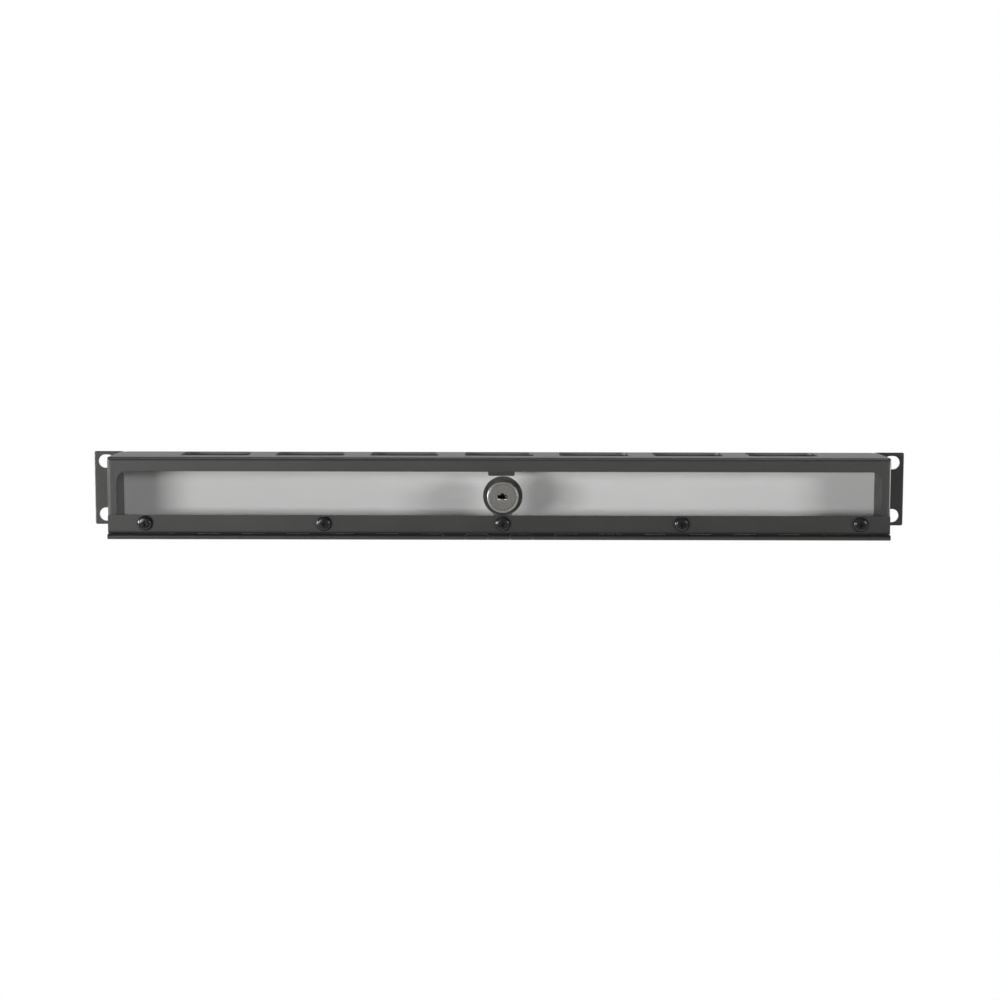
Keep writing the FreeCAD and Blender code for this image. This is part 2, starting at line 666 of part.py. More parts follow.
# Bottom plate with an up-turned flange at each end
floor = new_body("bottom_plate")
section = new_sketch(floor, "section", "XZ_Plane")
polygon(section, [
    ("-inner_half", "-top"), ("inner_half", "-top"),
    ("inner_half", "floor_flange_top"), ("floor_flange_in", "floor_flange_top"),
    ("floor_flange_in", "floor_top"), ("-floor_flange_in", "floor_top"),
    ("-floor_flange_in", "floor_flange_top"), ("-inner_half", "floor_flange_top"),
])
plate = pad(floor, section, "floor_depth")
inside = [name for side in ("-floor_flange_in", "floor_flange_in")
          for name in edges_at(plate, along("y"), x=num(side), z=num("floor_top"))]
plate = soften(floor, plate, inside, "bend_inside")
outside = [name for side in ("-inner_half", "inner_half")
           for name in edges_at(plate, along("y"), x=num(side), z=num("-top"))]
plate = soften(floor, plate, outside, "bend_outside")
rivet_holes = new_sketch(floor, "rivet_holes", "XY_Plane", lift="floor_top")
circle(rivet_holes, "rivet_first", "rivet_y", "rivet_hole")
row_of(floor, pocket(floor, rivet_holes, "sheet"), "rivet_run", "rivet_count")

# Strike that the cam turns behind
strike = new_body("strike_bracket")
angle_section = new_sketch(strike, "section", "YZ_Plane", lift="strike_left")
polygon(angle_section, [
    ("strike_foot_front", "strike_foot_low"), ("strike_front", "strike_foot_low"),
    ("strike_front", "strike_low"), ("strike_back", "strike_low"),
    ("strike_back", "under_top"), ("strike_foot_front", "under_top"),
])
bracket = pad(strike, angle_section, "strike_width")
strike_inside = edges_at(bracket, y=num("strike_front"), z=num("strike_foot_low"))
bracket = soften(strike, bracket, strike_inside, "bend_inside")
strike_outside = edges_at(bracket, y=num("strike_back"), z=num("under_top"))
bracket = soften(strike, bracket, strike_outside, "bend_outside")
tips = edges_at(bracket, along("y"), z=num("strike_low"))
bracket = soften(strike, bracket, tips, "strike_corner")


# Continuous hinge
def rolled_leaf(body, reach, upright):
    """A strip rolled round the pin at one edge, drawn about the hinge axis and drawn out along it."""
    sketch = new_sketch(body, "roll", "YZ_Plane", lift="-pane_half", along="axis_y", up="axis_z")
    inner, outer, end, far = num("knuckle_inner"), num("knuckle_outer"), num("roll_end"), num(reach)
    turned = math.degrees(math.asin(end / outer))
    swap = (lambda u, v: (v, u)) if upright else (lambda u, v: (u, v))
    start, stop = (90 - turned, 360) if upright else (90, 360 + turned)
    strip_end, free_end = (2, 1) if upright else (1, 2)
    on_axis = -1 if upright else -2
    run, rise = ("Vertical", "Horizontal") if upright else ("Horizontal", "Vertical")
    far_kind, end_kind = ("DistanceY", "DistanceX") if upright else ("DistanceX", "DistanceY")
    spoke = (math.cos(math.radians(turned)), math.sin(math.radians(turned)))
    face = line(sketch, swap(far, outer), swap(0, outer))
    big = arc(sketch, 0, 0, outer, start, stop)
    lip_start = swap(outer * spoke[0], outer * spoke[1])
    lip_line = line(sketch, lip_start, swap(inner * spoke[0], inner * spoke[1]))
    small = arc(sketch, 0, 0, inner, start, stop)
    back = line(sketch, swap(0, inner), swap(far, inner))
    edge = line(sketch, swap(far, inner), swap(far, outer))
    join(sketch, (face, 2, big, strip_end), (big, free_end, lip_line, 1), (lip_line, 2, small, free_end))
    join(sketch, (small, strip_end, back, 1), (back, 2, edge, 1), (edge, 2, face, 1))
    join(sketch, (big, 3, -1, 1), (small, 3, -1, 1))
    for geo in (big, small):
        sketch.addConstraint(Sketcher.Constraint("PointOnObject", geo, strip_end, on_axis))
    sketch.addConstraint(Sketcher.Constraint("PointOnObject", -1, 1, lip_line))
    for geo in (face, back):
        sketch.addConstraint(Sketcher.Constraint(run, geo))
    sketch.addConstraint(Sketcher.Constraint(rise, edge))
    bind(sketch, Sketcher.Constraint("Radius", big, outer), "outer", "knuckle_outer")
    bind(sketch, Sketcher.Constraint("Radius", small, inner), "inner", "knuckle_inner")
    bind(sketch, Sketcher.Constraint(far_kind, -1, 1, edge, 1, far), "reach", reach)
    bind(sketch, Sketcher.Constraint(end_kind, -1, 1, lip_line, 1, end), "roll_end", "roll_end")
    return pad(body, sketch, "hinge_length")


lower_leaf = new_body("hinge_lower_leaf")
rolled_leaf(lower_leaf, "lower_leaf_reach", False)
lower_notch = new_sketch(lower_leaf, "notch", "XY_Plane")
rectangle(lower_notch, "lower_notch_left", "lower_notch_right", "notch_front", "notch_back")
row_of(lower_leaf, pocket(lower_leaf, lower_notch), "lower_notch_run", "lower_notch_count")
leaf_rivets = new_sketch(lower_leaf, "rivet_holes", "XY_Plane")
circle(leaf_rivets, "rivet_first", "rivet_y", "rivet_hole")
lower = row_of(lower_leaf, pocket(lower_leaf, leaf_rivets), "rivet_run", "rivet_count")
lower_corners = [name for side in ("-pane_half", "pane_half")
                 for name in edges_at(lower, along("z"), x=num(side), y=num("lower_leaf_back"))]
soften(lower_leaf, lower, lower_corners, "leaf_corner")

upper_leaf = new_body("hinge_upper_leaf")
rolled_leaf(upper_leaf, "upper_leaf_rise", True)
upper_notch = new_sketch(upper_leaf, "notch", "XZ_Plane")
rectangle(upper_notch, "upper_notch_left", "upper_notch_right", "notch_low", "notch_high")
row_of(upper_leaf, pocket(upper_leaf, upper_notch), "upper_notch_run", "upper_notch_count")
leaf_holes = new_sketch(upper_leaf, "screw_holes", "XZ_Plane")
circle(leaf_holes, "screw_first", "screw_z", "screw_hole")
upper = row_of(upper_leaf, pocket(upper_leaf, leaf_holes), "screw_run", "screw_count")
upper_corners = [name for side in ("-pane_half", "pane_half")
                 for name in edges_at(upper, along("y"), x=num(side), z=num("upper_leaf_top"))]
soften(upper_leaf, upper, upper_corners, "leaf_corner")

pin_body = new_body("hinge_pin", y="axis_y", z="axis_z")
pin_section = new_sketch(pin_body, "section", "XY_Plane")
polygon(pin_section, [
    ("-pane_half", 0), ("pane_half", 0), ("pane_half", "pin_radius"), ("-pane_half", "pin_radius"),
])
turn(pin_body, pin_section, "H_Axis")

# Rivets that hold the lower leaf to the bottom plate
rivets = new_body("hinge_rivets", x="rivet_first", y="rivet_y")
rivet_section = new_sketch(rivets, "section", "XZ_Plane")
polygon(rivet_section, [
    ("rivet_bore_radius", "rivet_low"), ("rivet_head_radius", "rivet_low"),
    ("rivet_head_radius", "rivet_seat"), ("rivet_radius", "rivet_seat"),
    ("rivet_radius", "floor_top"), ("rivet_tail_radius", "floor_top"),
    ("rivet_tail_radius", "rivet_top"), (0, "rivet_top"), (0, "rivet_seat"),
    ("rivet_bore_radius", "rivet_seat"),
])
rivet = turn(rivets, rivet_section)
rivet = soften(rivets, rivet, edges_at(rivet, rim("rivet_head_radius", "rivet_low", "z")), "rivet_dome")
rivet = soften(rivets, rivet, edges_at(rivet, rim("rivet_tail_radius", "rivet_top", "z")), "rivet_tail_round")
whole_row(rivets, "rivet_run", "rivet_count")

# Clear pane
pane = new_body("window_pane")
pane_outline = new_sketch(pane, "outline", "XZ_Plane", lift="-pane_back")
rectangle(pane_outline, "-pane_half", "pane_half", "pane_low", "pane_top")
glazing = pad(pane, pane_outline, "pane_thick")
pane_corners = [name for side in ("-pane_half", "pane_half")
                for name in edges_at(glazing, along("y"), x=num(side))]
glazing = soften(pane, glazing, pane_corners, "pane_corner")
pane_rims = [name for level in ("pane_front", "pane_back") for name in edges_at(glazing, y=num(level))]
glazing = soften(pane, glazing, pane_rims, "pane_bevel", "Chamfer")
lock_hole = new_sketch(pane, "lock_hole", "XZ_Plane", lift="-pane_back")
double_d(lock_hole, "fastener_offset", "pane_flat_left", "pane_flat_right", "pane_hole")
pocket(pane, lock_hole, "pane_thick", back=True)
pane_holes = new_sketch(pane, "screw_holes", "XZ_Plane", lift="-pane_back")
circle(pane_holes, "screw_first", "screw_z", "screw_hole")
row_of(pane, pocket(pane, pane_holes, "pane_thick", back=True), "screw_run", "screw_count")

# Screws, washers and nuts that clamp the upper leaf to the pane

def cross_outline(sketch):
    """The outline of a cross recess about the origin."""
    polygon(sketch, [
        ("-recess_arm", "-recess_half"), ("-recess_half", "-recess_half"), ("-recess_half", "-recess_arm"),
        ("recess_half", "-recess_arm"), ("recess_half", "-recess_half"), ("recess_arm", "-recess_half"),
        ("recess_arm", "recess_half"), ("recess_half", "recess_half"), ("recess_half", "recess_arm"),
        ("-recess_half", "recess_arm"), ("-recess_half", "recess_half"), ("-recess_arm", "recess_half"),
    ])


screws = new_body("leaf_screws", x="screw_first", z="screw_z")
screw_section = new_sketch(screws, "section", "XY_Plane")
polygon(screw_section, [
    (0, "screw_head_front"), ("screw_head_radius", "screw_head_front"),
    ("screw_head_radius", "leaf_front"), ("screw_radius", "leaf_front"),
    ("screw_radius", "screw_end"), (0, "screw_end"),
])
screw = turn(screws, screw_section)
screw_rim = edges_at(screw, rim("screw_head_radius", "screw_head_front", "y"))
screw = soften(screws, screw, screw_rim, "screw_dome")
cross = new_sketch(screws, "recess", "XZ_Plane", lift="-screw_head_front")
cross_outline(cross)
pocket(screws, cross, "screw_recess")
whole_row(screws, "screw_run", "screw_count")


def ring(body, hole, outer, front, back):
    """A flat ring about the body's y axis."""
    sketch = new_sketch(body, "section", "XY_Plane")
    rectangle(sketch, hole, outer, front, back)
    return turn(body, sketch)


def hex_nut(body, corner, flat, cut, hole, front, thick, cut_front, cut_back, back):
    """A hexagon nut about the body's y axis, its corners turned off at both faces."""
    sketch = new_sketch(body, "hexagon", "XZ_Plane", lift=f"-{back}")
    hexagon(sketch, corner)
    circle(sketch, 0, 0, hole)
    pad(body, sketch, thick)
    bevel = new_sketch(body, "bevel", "XY_Plane")
    polygon(bevel, [(flat, front), (cut, front), (cut, cut_front)])
    polygon(bevel, [(flat, back), (cut, cut_back), (cut, back)])
    return turn(body, bevel, cut=True)


washers = new_body("leaf_washers", x="screw_first", z="screw_z")
ring(washers, "screw_hole", "washer_radius", "pane_back", "washer_back")
whole_row(washers, "screw_run", "screw_count")

nuts = new_body("leaf_nuts", x="screw_first", z="screw_z")
hex_nut(nuts, "nut_corner", "nut_flat", "nut_cut", "screw_bore", "washer_back", "nut_thick",
        "nut_cut_front", "nut_cut_back", "nut_back")
whole_row(nuts, "screw_run", "screw_count")

# Lock body: head with a ring groove, threaded barrel with two flats, stop nub at the back
lock = new_body("lock_body", x="fastener_offset")
lock_section = new_sketch(lock, "section", "XY_Plane")
polygon(lock_section, [
    ("collar_bore", "head_front"), ("ring_inner", "head_front"), ("ring_inner", "ring_floor"),
    ("ring_outer", "ring_floor"), ("ring_outer", "head_front"), ("head_radius", "head_front"),
    ("head_radius", "pane_front"), ("barrel_radius", "pane_front"), ("barrel_radius", "barrel_back"),
    ("bore_radius", "barrel_back"), ("bore_radius", "collar_seat"), ("collar_bore", "collar_seat"),
])
housing = turn(lock, lock_section)
housing = soften(lock, housing, edges_at(housing, rim("head_radius", "head_front", "y")), "head_rounding")
flats = new_sketch(lock, "flats", "XZ_Plane", lift="-barrel_back")
rectangle(flats, "-flat_out", "-flat_half", "-flat_out", "flat_out")
rectangle(flats, "flat_half", "flat_out", "-flat_out", "flat_out")
pocket(lock, flats, "barrel_length", back=True)
nub = new_sketch(lock, "nub", "XZ_Plane", lift="-barrel_back")
rectangle(nub, "-nub_half", "nub_half", "nub_low", "nub_high")
pad(lock, nub, "stop_nub_height", back=True)

tooth_washer = new_body("lock_washer", x="fastener_offset")
ring(tooth_washer, "lock_bore", "lock_washer_outer", "pane_back", "lock_washer_back")
tooth_gap = new_sketch(tooth_washer, "tooth_gap", "XZ_Plane", lift="-lock_washer_back")
circle(tooth_gap, "lock_bore", 0, "tooth_radius")
ring_of(tooth_washer, pocket(tooth_washer, tooth_gap), "tooth_count")

lock_nut = new_body("lock_nut", x="fastener_offset")
hex_nut(lock_nut, "lock_nut_corner", "lock_nut_flat", "lock_nut_cut", "lock_bore", "lock_washer_back",
        "lock_nut_thick", "lock_nut_cut_front", "lock_nut_cut_back", "lock_nut_back")

# Lock plug: collar, keyway across the face, wafer slots, square tail tapped for the cam screw
plug = new_body("lock_plug", x="fastener_offset")
plug_section = new_sketch(plug, "section", "XY_Plane")
polygon(plug_section, [
    (0, "plug_front"), ("collar_radius", "plug_front"), ("collar_radius", "collar_back"),
    ("plug_radius", "collar_back"), ("plug_radius", "stop_front"), (0, "stop_front"),
])
turn(plug, plug_section)
tail = new_sketch(plug, "tail", "XZ_Plane", lift="-stop_front")
rectangle(tail, "-tail_half", "tail_half", "-tail_half", "tail_half")
pad(plug, tail, "tail_length", back=True)
tapped = new_sketch(plug, "tapped", "XZ_Plane", lift="-tail_back")
circle(tapped, 0, 0, "cam_screw_bore")
pocket(plug, tapped, "tapped_depth", back=True)
dish = new_sketch(plug, "dish", "XZ_Plane", lift="-plug_front")
circle(dish, 0, 0, "dish_radius")
pocket(plug, dish, "dish_depth")
keyway = new_sketch(plug, "keyway", "XZ_Plane", lift="-plug_front")
rectangle(keyway, "-keyway_half", "keyway_half", "-keyway_tall", "keyway_tall")
pocket(plug, keyway, "keyway_depth")
wafer_slot = new_sketch(plug, "wafer_slot", "XZ_Plane", lift="-wafer_slot_front")
rectangle(wafer_slot, "-wafer_slot_half", "wafer_slot_half", "-wafer_slot_tall", "wafer_slot_tall")
row_of(plug, pocket(plug, wafer_slot, "wafer_slot_depth"), "wafer_run", "wafer_count", "Y_Axis")

wafers = new_body("lock_wafers", x="fastener_offset")
wafer_outline = new_sketch(wafers, "outline", "XZ_Plane", lift="-wafer_front")
rectangle(wafer_outline, "-wafer_half", "wafer_half", "-wafer_tall", "wafer_tall")
rectangle(wafer_outline, "-wafer_hole_half", "wafer_hole_half", "-wafer_hole_tall", "wafer_hole_tall")
pad(wafers, wafer_outline, "wafer_thick", back=True)
whole_row(wafers, "wafer_run", "wafer_count", "Y_Axis")

# Stop washer: a half ring that meets the nub at both ends of a half turn
stop = new_body("stop_washer", x="fastener_offset")
hub = new_sketch(stop, "hub", "XZ_Plane", lift="-stop_back")
circle(hub, 0, 0, "bore_radius")
pad(stop, hub, "stop_thick")
half_ring = new_sketch(stop, "half_ring", "XZ_Plane", lift="-stop_back")
reach, chord = num("stop_radius"), num("stop_arm")
opened = math.degrees(math.acos(chord / reach))
rise = math.sqrt(reach * reach - chord * chord)
bow = arc(half_ring, 0, 0, reach, -opened, opened)
string = line(half_ring, (chord, rise), (chord, -rise))
join(half_ring, (bow, 2, string, 1), (string, 2, bow, 1), (bow, 3, -1, 1))
half_ring.addConstraint(Sketcher.Constraint("Vertical", string))
bind(half_ring, Sketcher.Constraint("Radius", bow, reach), "reach", "stop_radius")
bind(half_ring, Sketcher.Constraint("DistanceX", -1, 1, string, 1, chord), "chord", "stop_arm")
pad(stop, half_ring, "stop_thick")
stop_square = new_sketch(stop, "square", "XZ_Plane", lift="-stop_back")
rectangle(stop_square, "-tail_hole", "tail_hole", "-tail_hole", "tail_hole")
pocket(stop, stop_square)

# Cam, pointing down with the lock open
cam = new_body("lock_cam", x="fastener_offset")
cam_hub = new_sketch(cam, "hub", "XZ_Plane", lift="-cam_back")
circle(cam_hub, 0, 0, "cam_hub_radius")
pad(cam, cam_hub, "cam_thick")
cam_arm = new_sketch(cam, "arm", "XZ_Plane", lift="-cam_back")
polygon(cam_arm, [("-cam_tip_half", "-cam_reach"), ("cam_tip_half", "-cam_reach"), ("cam_hub_radius", 0),
                  ("-cam_hub_radius", 0)])
arm = pad(cam, cam_arm, "cam_thick")
arm_tips = [name for side in ("-cam_tip_half", "cam_tip_half")
            for name in edges_at(arm, along("y"), x=num(side), z=num("-cam_reach"))]
soften(cam, arm, arm_tips, "cam_tip_corner")
cam_square = new_sketch(cam, "square", "XZ_Plane", lift="-cam_back")
rectangle(cam_square, "-tail_hole", "tail_hole", "-tail_hole", "tail_hole")
pocket(cam, cam_square)

cam_washer = new_body("cam_washer", x="fastener_offset")
ring(cam_washer, "cam_washer_hole", "cam_washer_radius", "cam_back", "cam_washer_back")
split = new_sketch(cam_washer, "split", "XZ_Plane", lift="-cam_washer_back")
rectangle(split, "cam_screw_radius", "cam_washer_past", "-cam_washer_half_split", "cam_washer_half_split")
pocket(cam_washer, split)

cam_screw = new_body("cam_screw", x="fastener_offset")
cam_screw_section = new_sketch(cam_screw, "section", "XY_Plane")
polygon(cam_screw_section, [
    (0, "cam_screw_front"), ("cam_screw_radius", "cam_screw_front"), ("cam_screw_radius", "cam_washer_back"),
    ("cam_screw_head_radius", "cam_washer_back"), ("cam_screw_head_radius", "cam_screw_back"),
    (0, "cam_screw_back"),
])
bolt = turn(cam_screw, cam_screw_section)
bolt_rim = edges_at(bolt, rim("cam_screw_head_radius", "cam_screw_back", "y"))
soften(cam_screw, bolt, bolt_rim, "cam_screw_dome")
bolt_cross = new_sketch(cam_screw, "recess", "XZ_Plane", lift="-cam_screw_back")
cross_outline(bolt_cross)
pocket(cam_screw, bolt_cross, "screw_recess", back=True)

# Every shape is checked, then written
doc.recompute()
broken = [item.Name for item in doc.Objects if "Invalid" in item.State or "Error" in item.State]
if broken:
    raise RuntimeError(f"features that failed: {broken}")
pieces = [item for item in doc.Objects if item.isDerivedFrom("PartDesign::Body")]
os.makedirs("parts", exist_ok=True)
for piece in pieces:
    if piece.Shape.isNull() or not piece.Shape.isValid():
        raise RuntimeError(f"no valid shape in {piece.Label}")
    piece.Shape.exportStep(f"parts/{piece.Label}.step")
    box = piece.Shape.BoundBox
    print(f"{piece.Label}: {len(piece.Shape.Solids)} solids, {piece.Shape.Volume:.1f} mm3,",
          f"x {box.XMin:.2f} {box.XMax:.2f}, y {box.YMin:.2f} {box.YMax:.2f},",
          f"z {box.ZMin:.2f} {box.ZMax:.2f}")
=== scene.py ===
import json
import math

import bmesh
import bpy
from mathutils import Matrix, Vector


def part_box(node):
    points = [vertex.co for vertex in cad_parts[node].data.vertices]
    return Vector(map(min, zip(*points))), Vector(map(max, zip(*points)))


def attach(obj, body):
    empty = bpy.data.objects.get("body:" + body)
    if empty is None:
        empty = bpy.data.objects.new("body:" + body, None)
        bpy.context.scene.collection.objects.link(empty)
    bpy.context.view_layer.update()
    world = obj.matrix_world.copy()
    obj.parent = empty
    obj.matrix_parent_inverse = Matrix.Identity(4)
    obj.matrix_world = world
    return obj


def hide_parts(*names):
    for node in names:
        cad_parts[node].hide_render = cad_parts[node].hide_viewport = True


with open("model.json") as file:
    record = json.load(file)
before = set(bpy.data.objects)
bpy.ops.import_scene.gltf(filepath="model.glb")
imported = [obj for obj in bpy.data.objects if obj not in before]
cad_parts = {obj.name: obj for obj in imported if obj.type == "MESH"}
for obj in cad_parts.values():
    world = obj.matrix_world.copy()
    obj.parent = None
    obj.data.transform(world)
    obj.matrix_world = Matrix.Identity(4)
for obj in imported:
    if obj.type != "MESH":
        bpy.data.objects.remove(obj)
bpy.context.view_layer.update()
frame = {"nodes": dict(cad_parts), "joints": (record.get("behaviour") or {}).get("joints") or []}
nodes = frame["nodes"]


# Frame shell: front flanges round a window, slotted top, side walls and rack ears.
# One sheet of 1.5 mm steel, folded, with a satin black powder coat.
# The coat has a fine orange-peel skin and is slightly cloudy in tone. Inside the rear fold it is painted
# lighter: painted light standing in for the lit white seen through the slots.
COAT_DARK = (0.027, 0.0275, 0.0253, 1.0)
COAT_LIGHT = (0.034, 0.0345, 0.0320, 1.0)
COAT_SHEEN = (0.40, 0.52)
COAT_SPECULAR = 0.5
PEEL_SIZE = 0.0010
PEEL_HEIGHT = 0.00005
PEEL_STRENGTH = 0.35
SPECK_SIZE = 0.0003
SPECK_SHARE = 0.35
CLOUD_SIZE = 0.030
FINE_DETAIL = 2.0
CLOUD_DETAIL = 3.0
NOISE_LOW = 0.3
NOISE_HIGH = 0.7
# Painted light: a lighter tone on the inside of the rear fold.
FOLD_PAINTED_LIGHT = (0.15, 0.15, 0.145, 1.0)
FOLD_LOW = (-0.2225, -0.0052, 0.0125)
FOLD_HIGH = (0.2225, -0.0009, 0.0217)


def new_finish(name):
    """A new material, its node tree and its shader."""
    made = bpy.data.materials.new(name)
    made.use_nodes = True
    return made, made.node_tree, made.node_tree.nodes["Principled BSDF"]


def put(tree, kind, sockets, **settings):
    """Adds a node with its settings, and fills its sockets with values or with other nodes' outputs."""
    made = tree.nodes.new(kind)
    for name, value in settings.items():
        setattr(made, name, value)
    for name, value in sockets.items():
        if isinstance(value, bpy.types.NodeSocket):
            tree.links.new(value, made.inputs[name])
        else:
            made.inputs[name].default_value = value
    return made.outputs[0]


def reckon(tree, operation, *values):
    """A number worked out from others."""
    return put(tree, "ShaderNodeMath", dict(enumerate(values)), operation=operation)


def reckon_place(tree, operation, *values):
    """A vector worked out from others."""
    return put(tree, "ShaderNodeVectorMath", dict(enumerate(values)), operation=operation)


def split(tree, vector):
    """The three parts of a vector, by their names X, Y and Z."""
    return put(tree, "ShaderNodeSeparateXYZ", {0: vector}).node.outputs


def remap(tree, value, start, end, low, high):
    """Turns the range from start to end into the range from low to high."""
    return put(tree, "ShaderNodeMapRange",
               {"Value": value, "From Min": start, "From Max": end, "To Min": low, "To Max": high})


def tinted(tree, share, first, second):
    """A colour between two others."""
    return put(tree, "ShaderNodeMixRGB", {"Fac": share, "Color1": first, "Color2": second})


def raised(tree, height, strength, distance, under=None):
    """The facing of a surface that a height raises, over another such surface if one is given."""
    sockets = {"Strength": strength, "Distance": distance, "Height": height}
    if under is not None:
        sockets["Normal"] = under
    return put(tree, "ShaderNodeBump", sockets)


def on_piece(tree):
    """The place of a point on the piece, in metres."""
    return tree.nodes.new("ShaderNodeTexCoord").outputs["Object"]


def noise(tree, place, size, detail=FINE_DETAIL):
    """Soft random spots of one size in metres."""
    return put(tree, "ShaderNodeTexNoise", {"Vector": place, "Scale": 1.0 / size, "Detail": detail})


def spread(tree, value, low, high):
    """Turns the middle part of a noise into the range from low to high."""
    return remap(tree, value, NOISE_LOW, NOISE_HIGH, low, high)


def two_tone(tree, value, dark, light):
    """A colour that goes from dark to light with a noise."""
    ramp = tree.nodes.new("ShaderNodeValToRGB")
    for stop, position, colour in zip(ramp.color_ramp.elements, (NOISE_LOW, NOISE_HIGH), (dark, light)):
        stop.position = position
        stop.color = colour
    tree.links.new(value, ramp.inputs["Fac"])
    return ramp.outputs["Color"]


def feed(tree, shader, **sockets):
    """Links outputs to the shader's sockets."""
    for name, output in sockets.items():
        tree.links.new(output, shader.inputs[name.replace("_", " ")])


def in_box(tree, place, low, high):
    """One inside a box, nought outside it."""
    middle = (Vector(low) + Vector(high)) / 2
    half = (Vector(high) - Vector(low)) / 2
    share = reckon_place(tree, "DIVIDE", reckon_place(tree, "SUBTRACT", place, middle), half)
    size = split(tree, reckon_place(tree, "ABSOLUTE", share))
    most = reckon(tree, "MAXIMUM", reckon(tree, "MAXIMUM", size["X"], size["Y"]), size["Z"])
    return reckon(tree, "LESS_THAN", most, 1.0)


def powder_coat(name, patch=None, patch_tone=None, patch_rough=0.0):
    """Satin black powder coat, with another tone and roughness where a patch of the piece has them."""
    made, tree, shader = new_finish(name)
    place = on_piece(tree)
    peel = noise(tree, place, PEEL_SIZE)
    speck = noise(tree, place, SPECK_SIZE)
    cloud = noise(tree, place, CLOUD_SIZE, CLOUD_DETAIL)
    skin = reckon(tree, "MULTIPLY_ADD", speck, SPECK_SHARE, peel)
    tone = two_tone(tree, cloud, COAT_DARK, COAT_LIGHT)
    rough = spread(tree, peel, *COAT_SHEEN)
    if patch:
        share = patch(tree, place)
        tone = tinted(tree, share, tone, patch_tone)
        rough = reckon(tree, "MAXIMUM", rough, reckon(tree, "MULTIPLY", share, patch_rough))
    shader.inputs["Specular IOR Level"].default_value = COAT_SPECULAR
    feed(tree, shader, Base_Color=tone, Roughness=rough,
         Normal=raised(tree, skin, PEEL_STRENGTH, PEEL_HEIGHT))
    return made


def rear_fold_painted_light(tree, place):
    """The inside of the fold at the top's back edge, painted lighter as painted light."""
    return in_box(tree, place, FOLD_LOW, FOLD_HIGH)


def dress(node, finish):
    """Gives a solid its finish."""
    nodes[node].data.materials.clear()
    nodes[node].data.materials.append(finish)


coat = powder_coat("powder_coat")
# The shell's coat carries painted light, a lighter tone inside the rear fold.
dress("frame_shell", powder_coat("shell_coat", rear_fold_painted_light, FOLD_PAINTED_LIGHT))


# Bottom plate and strike: the floor with an up-turned flange at each end, and the angle the cam turns behind.
# Steel sheet, spot-welded in and coated together with the shell.
dress("bottom_plate", coat)
dress("strike_bracket", coat)


# Lower hinge leaf and hinge pin: a strip with 18 rolled knuckles under the floor, on one drawn wire.
# The leaf is 0.8 mm steel with the frame's coat and painted shade in the crease above the knuckles, the pin
# dark zinc-plated steel.
LEAF_THICK = 0.0008
KNUCKLE_RADIUS = 0.00155
ACROSS_HINGE = (0.0, 1.0, 1.0)
# Painted shade: the dark tone and dull sheen along the crease above the knuckles.
CREASE_SHADE_TONE = (0.004, 0.004, 0.004, 1.0)
CREASE_ROUGH = 0.8
CREASE_FROM = 0.0011
CREASE_TO = 0.0022
DARK_ZINC_LOW = (0.060, 0.062, 0.057, 1.0)
DARK_ZINC_HIGH = (0.095, 0.097, 0.090, 1.0)
DARK_ZINC_SHEEN = (0.60, 0.75)
GRAIN_STRENGTH = 0.3


def plated(name, dark, light, sheen, mottle, scratch, height):
    """Plated or stamped metal: mottled tone, uneven sheen and a fine drawn grain."""
    made, tree, shader = new_finish(name)
    place = on_piece(tree)
    cloud = noise(tree, place, mottle, CLOUD_DETAIL)
    grain = noise(tree, place, scratch)
    shader.inputs["Metallic"].default_value = 1.0
    feed(tree, shader, Base_Color=two_tone(tree, cloud, dark, light), Roughness=spread(tree, grain, *sheen),
         Normal=raised(tree, grain, GRAIN_STRENGTH, height))
    return made


def length(tree, vector):
    """The length of a vector."""
    return reckon_place(tree, "LENGTH", vector).node.outputs["Value"]


def hinge_crease_shade(tree, place):
    """Painted shade along the groove above the knuckles, fading out away from it."""
    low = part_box("hinge_upper_leaf")[0]
    groove = Vector((0.0, low.y + KNUCKLE_RADIUS, low.z + 2 * KNUCKLE_RADIUS))
    across = reckon_place(tree, "MULTIPLY_ADD", place, ACROSS_HINGE, -groove)
    return remap(tree, length(tree, across), CREASE_FROM, CREASE_TO, 1.0, 0.0)


# The hinge coat has painted shade along the crease above the knuckles.
hinge_coat_with_shade = powder_coat("hinge_coat_with_shade", hinge_crease_shade, CREASE_SHADE_TONE, CREASE_ROUGH)
dark_zinc = plated("dark_zinc", DARK_ZINC_LOW, DARK_ZINC_HIGH, DARK_ZINC_SHEEN,
                   mottle=0.004, scratch=0.0005, height=0.00003)
dress("hinge_lower_leaf", hinge_coat_with_shade)
dress("hinge_pin", dark_zinc)


# Hinge rivets: four blind rivets that hold the lower leaf to the floor.
# Black-coated, with a low domed head below, a set tail above and the broken mandrel in the bore.
RIVET_COUNT = 4
RIVET_BORE = 0.0009
RIVET_SHANK = 0.0016
RIVET_HEAD = 0.0032
RIVET_MOUTH = 0.0005
RIVET_DOME = 0.0009
DOME_STOP = -10
RIVET_TAIL = 0.0024
TAIL_HIGH = 0.0018
TAIL_ROUNDING = 0.0008
MANDREL_FIT = 0.00002
MANDREL_SINK = 0.0004
MANDREL_TIP = 0.0005
MANDREL_BREAK = 0.0006
MANDREL_EDGE = 0.00015
LATHE_STEPS = 40
SHARP_ANGLE = 30
BLACK_DARK = (0.010, 0.010, 0.0105, 1.0)
BLACK_LIGHT = (0.018, 0.018, 0.0185, 1.0)
BLACK_SHEEN = (0.17, 0.27)
BLACK_CLOUD = 0.003
BLACK_GRAIN = 0.0005
BLACK_STRENGTH = 0.2
BLACK_HEIGHT = 0.00002


def glossy_black():
    """Black plating with a wet gloss."""
    made, tree, shader = new_finish("glossy_black")
    place = on_piece(tree)
    cloud = noise(tree, place, BLACK_CLOUD, CLOUD_DETAIL)
    grain = noise(tree, place, BLACK_GRAIN)
    feed(tree, shader, Base_Color=two_tone(tree, cloud, BLACK_DARK, BLACK_LIGHT),
         Roughness=spread(tree, cloud, *BLACK_SHEEN),
         Normal=raised(tree, grain, BLACK_STRENGTH, BLACK_HEIGHT))
    return made


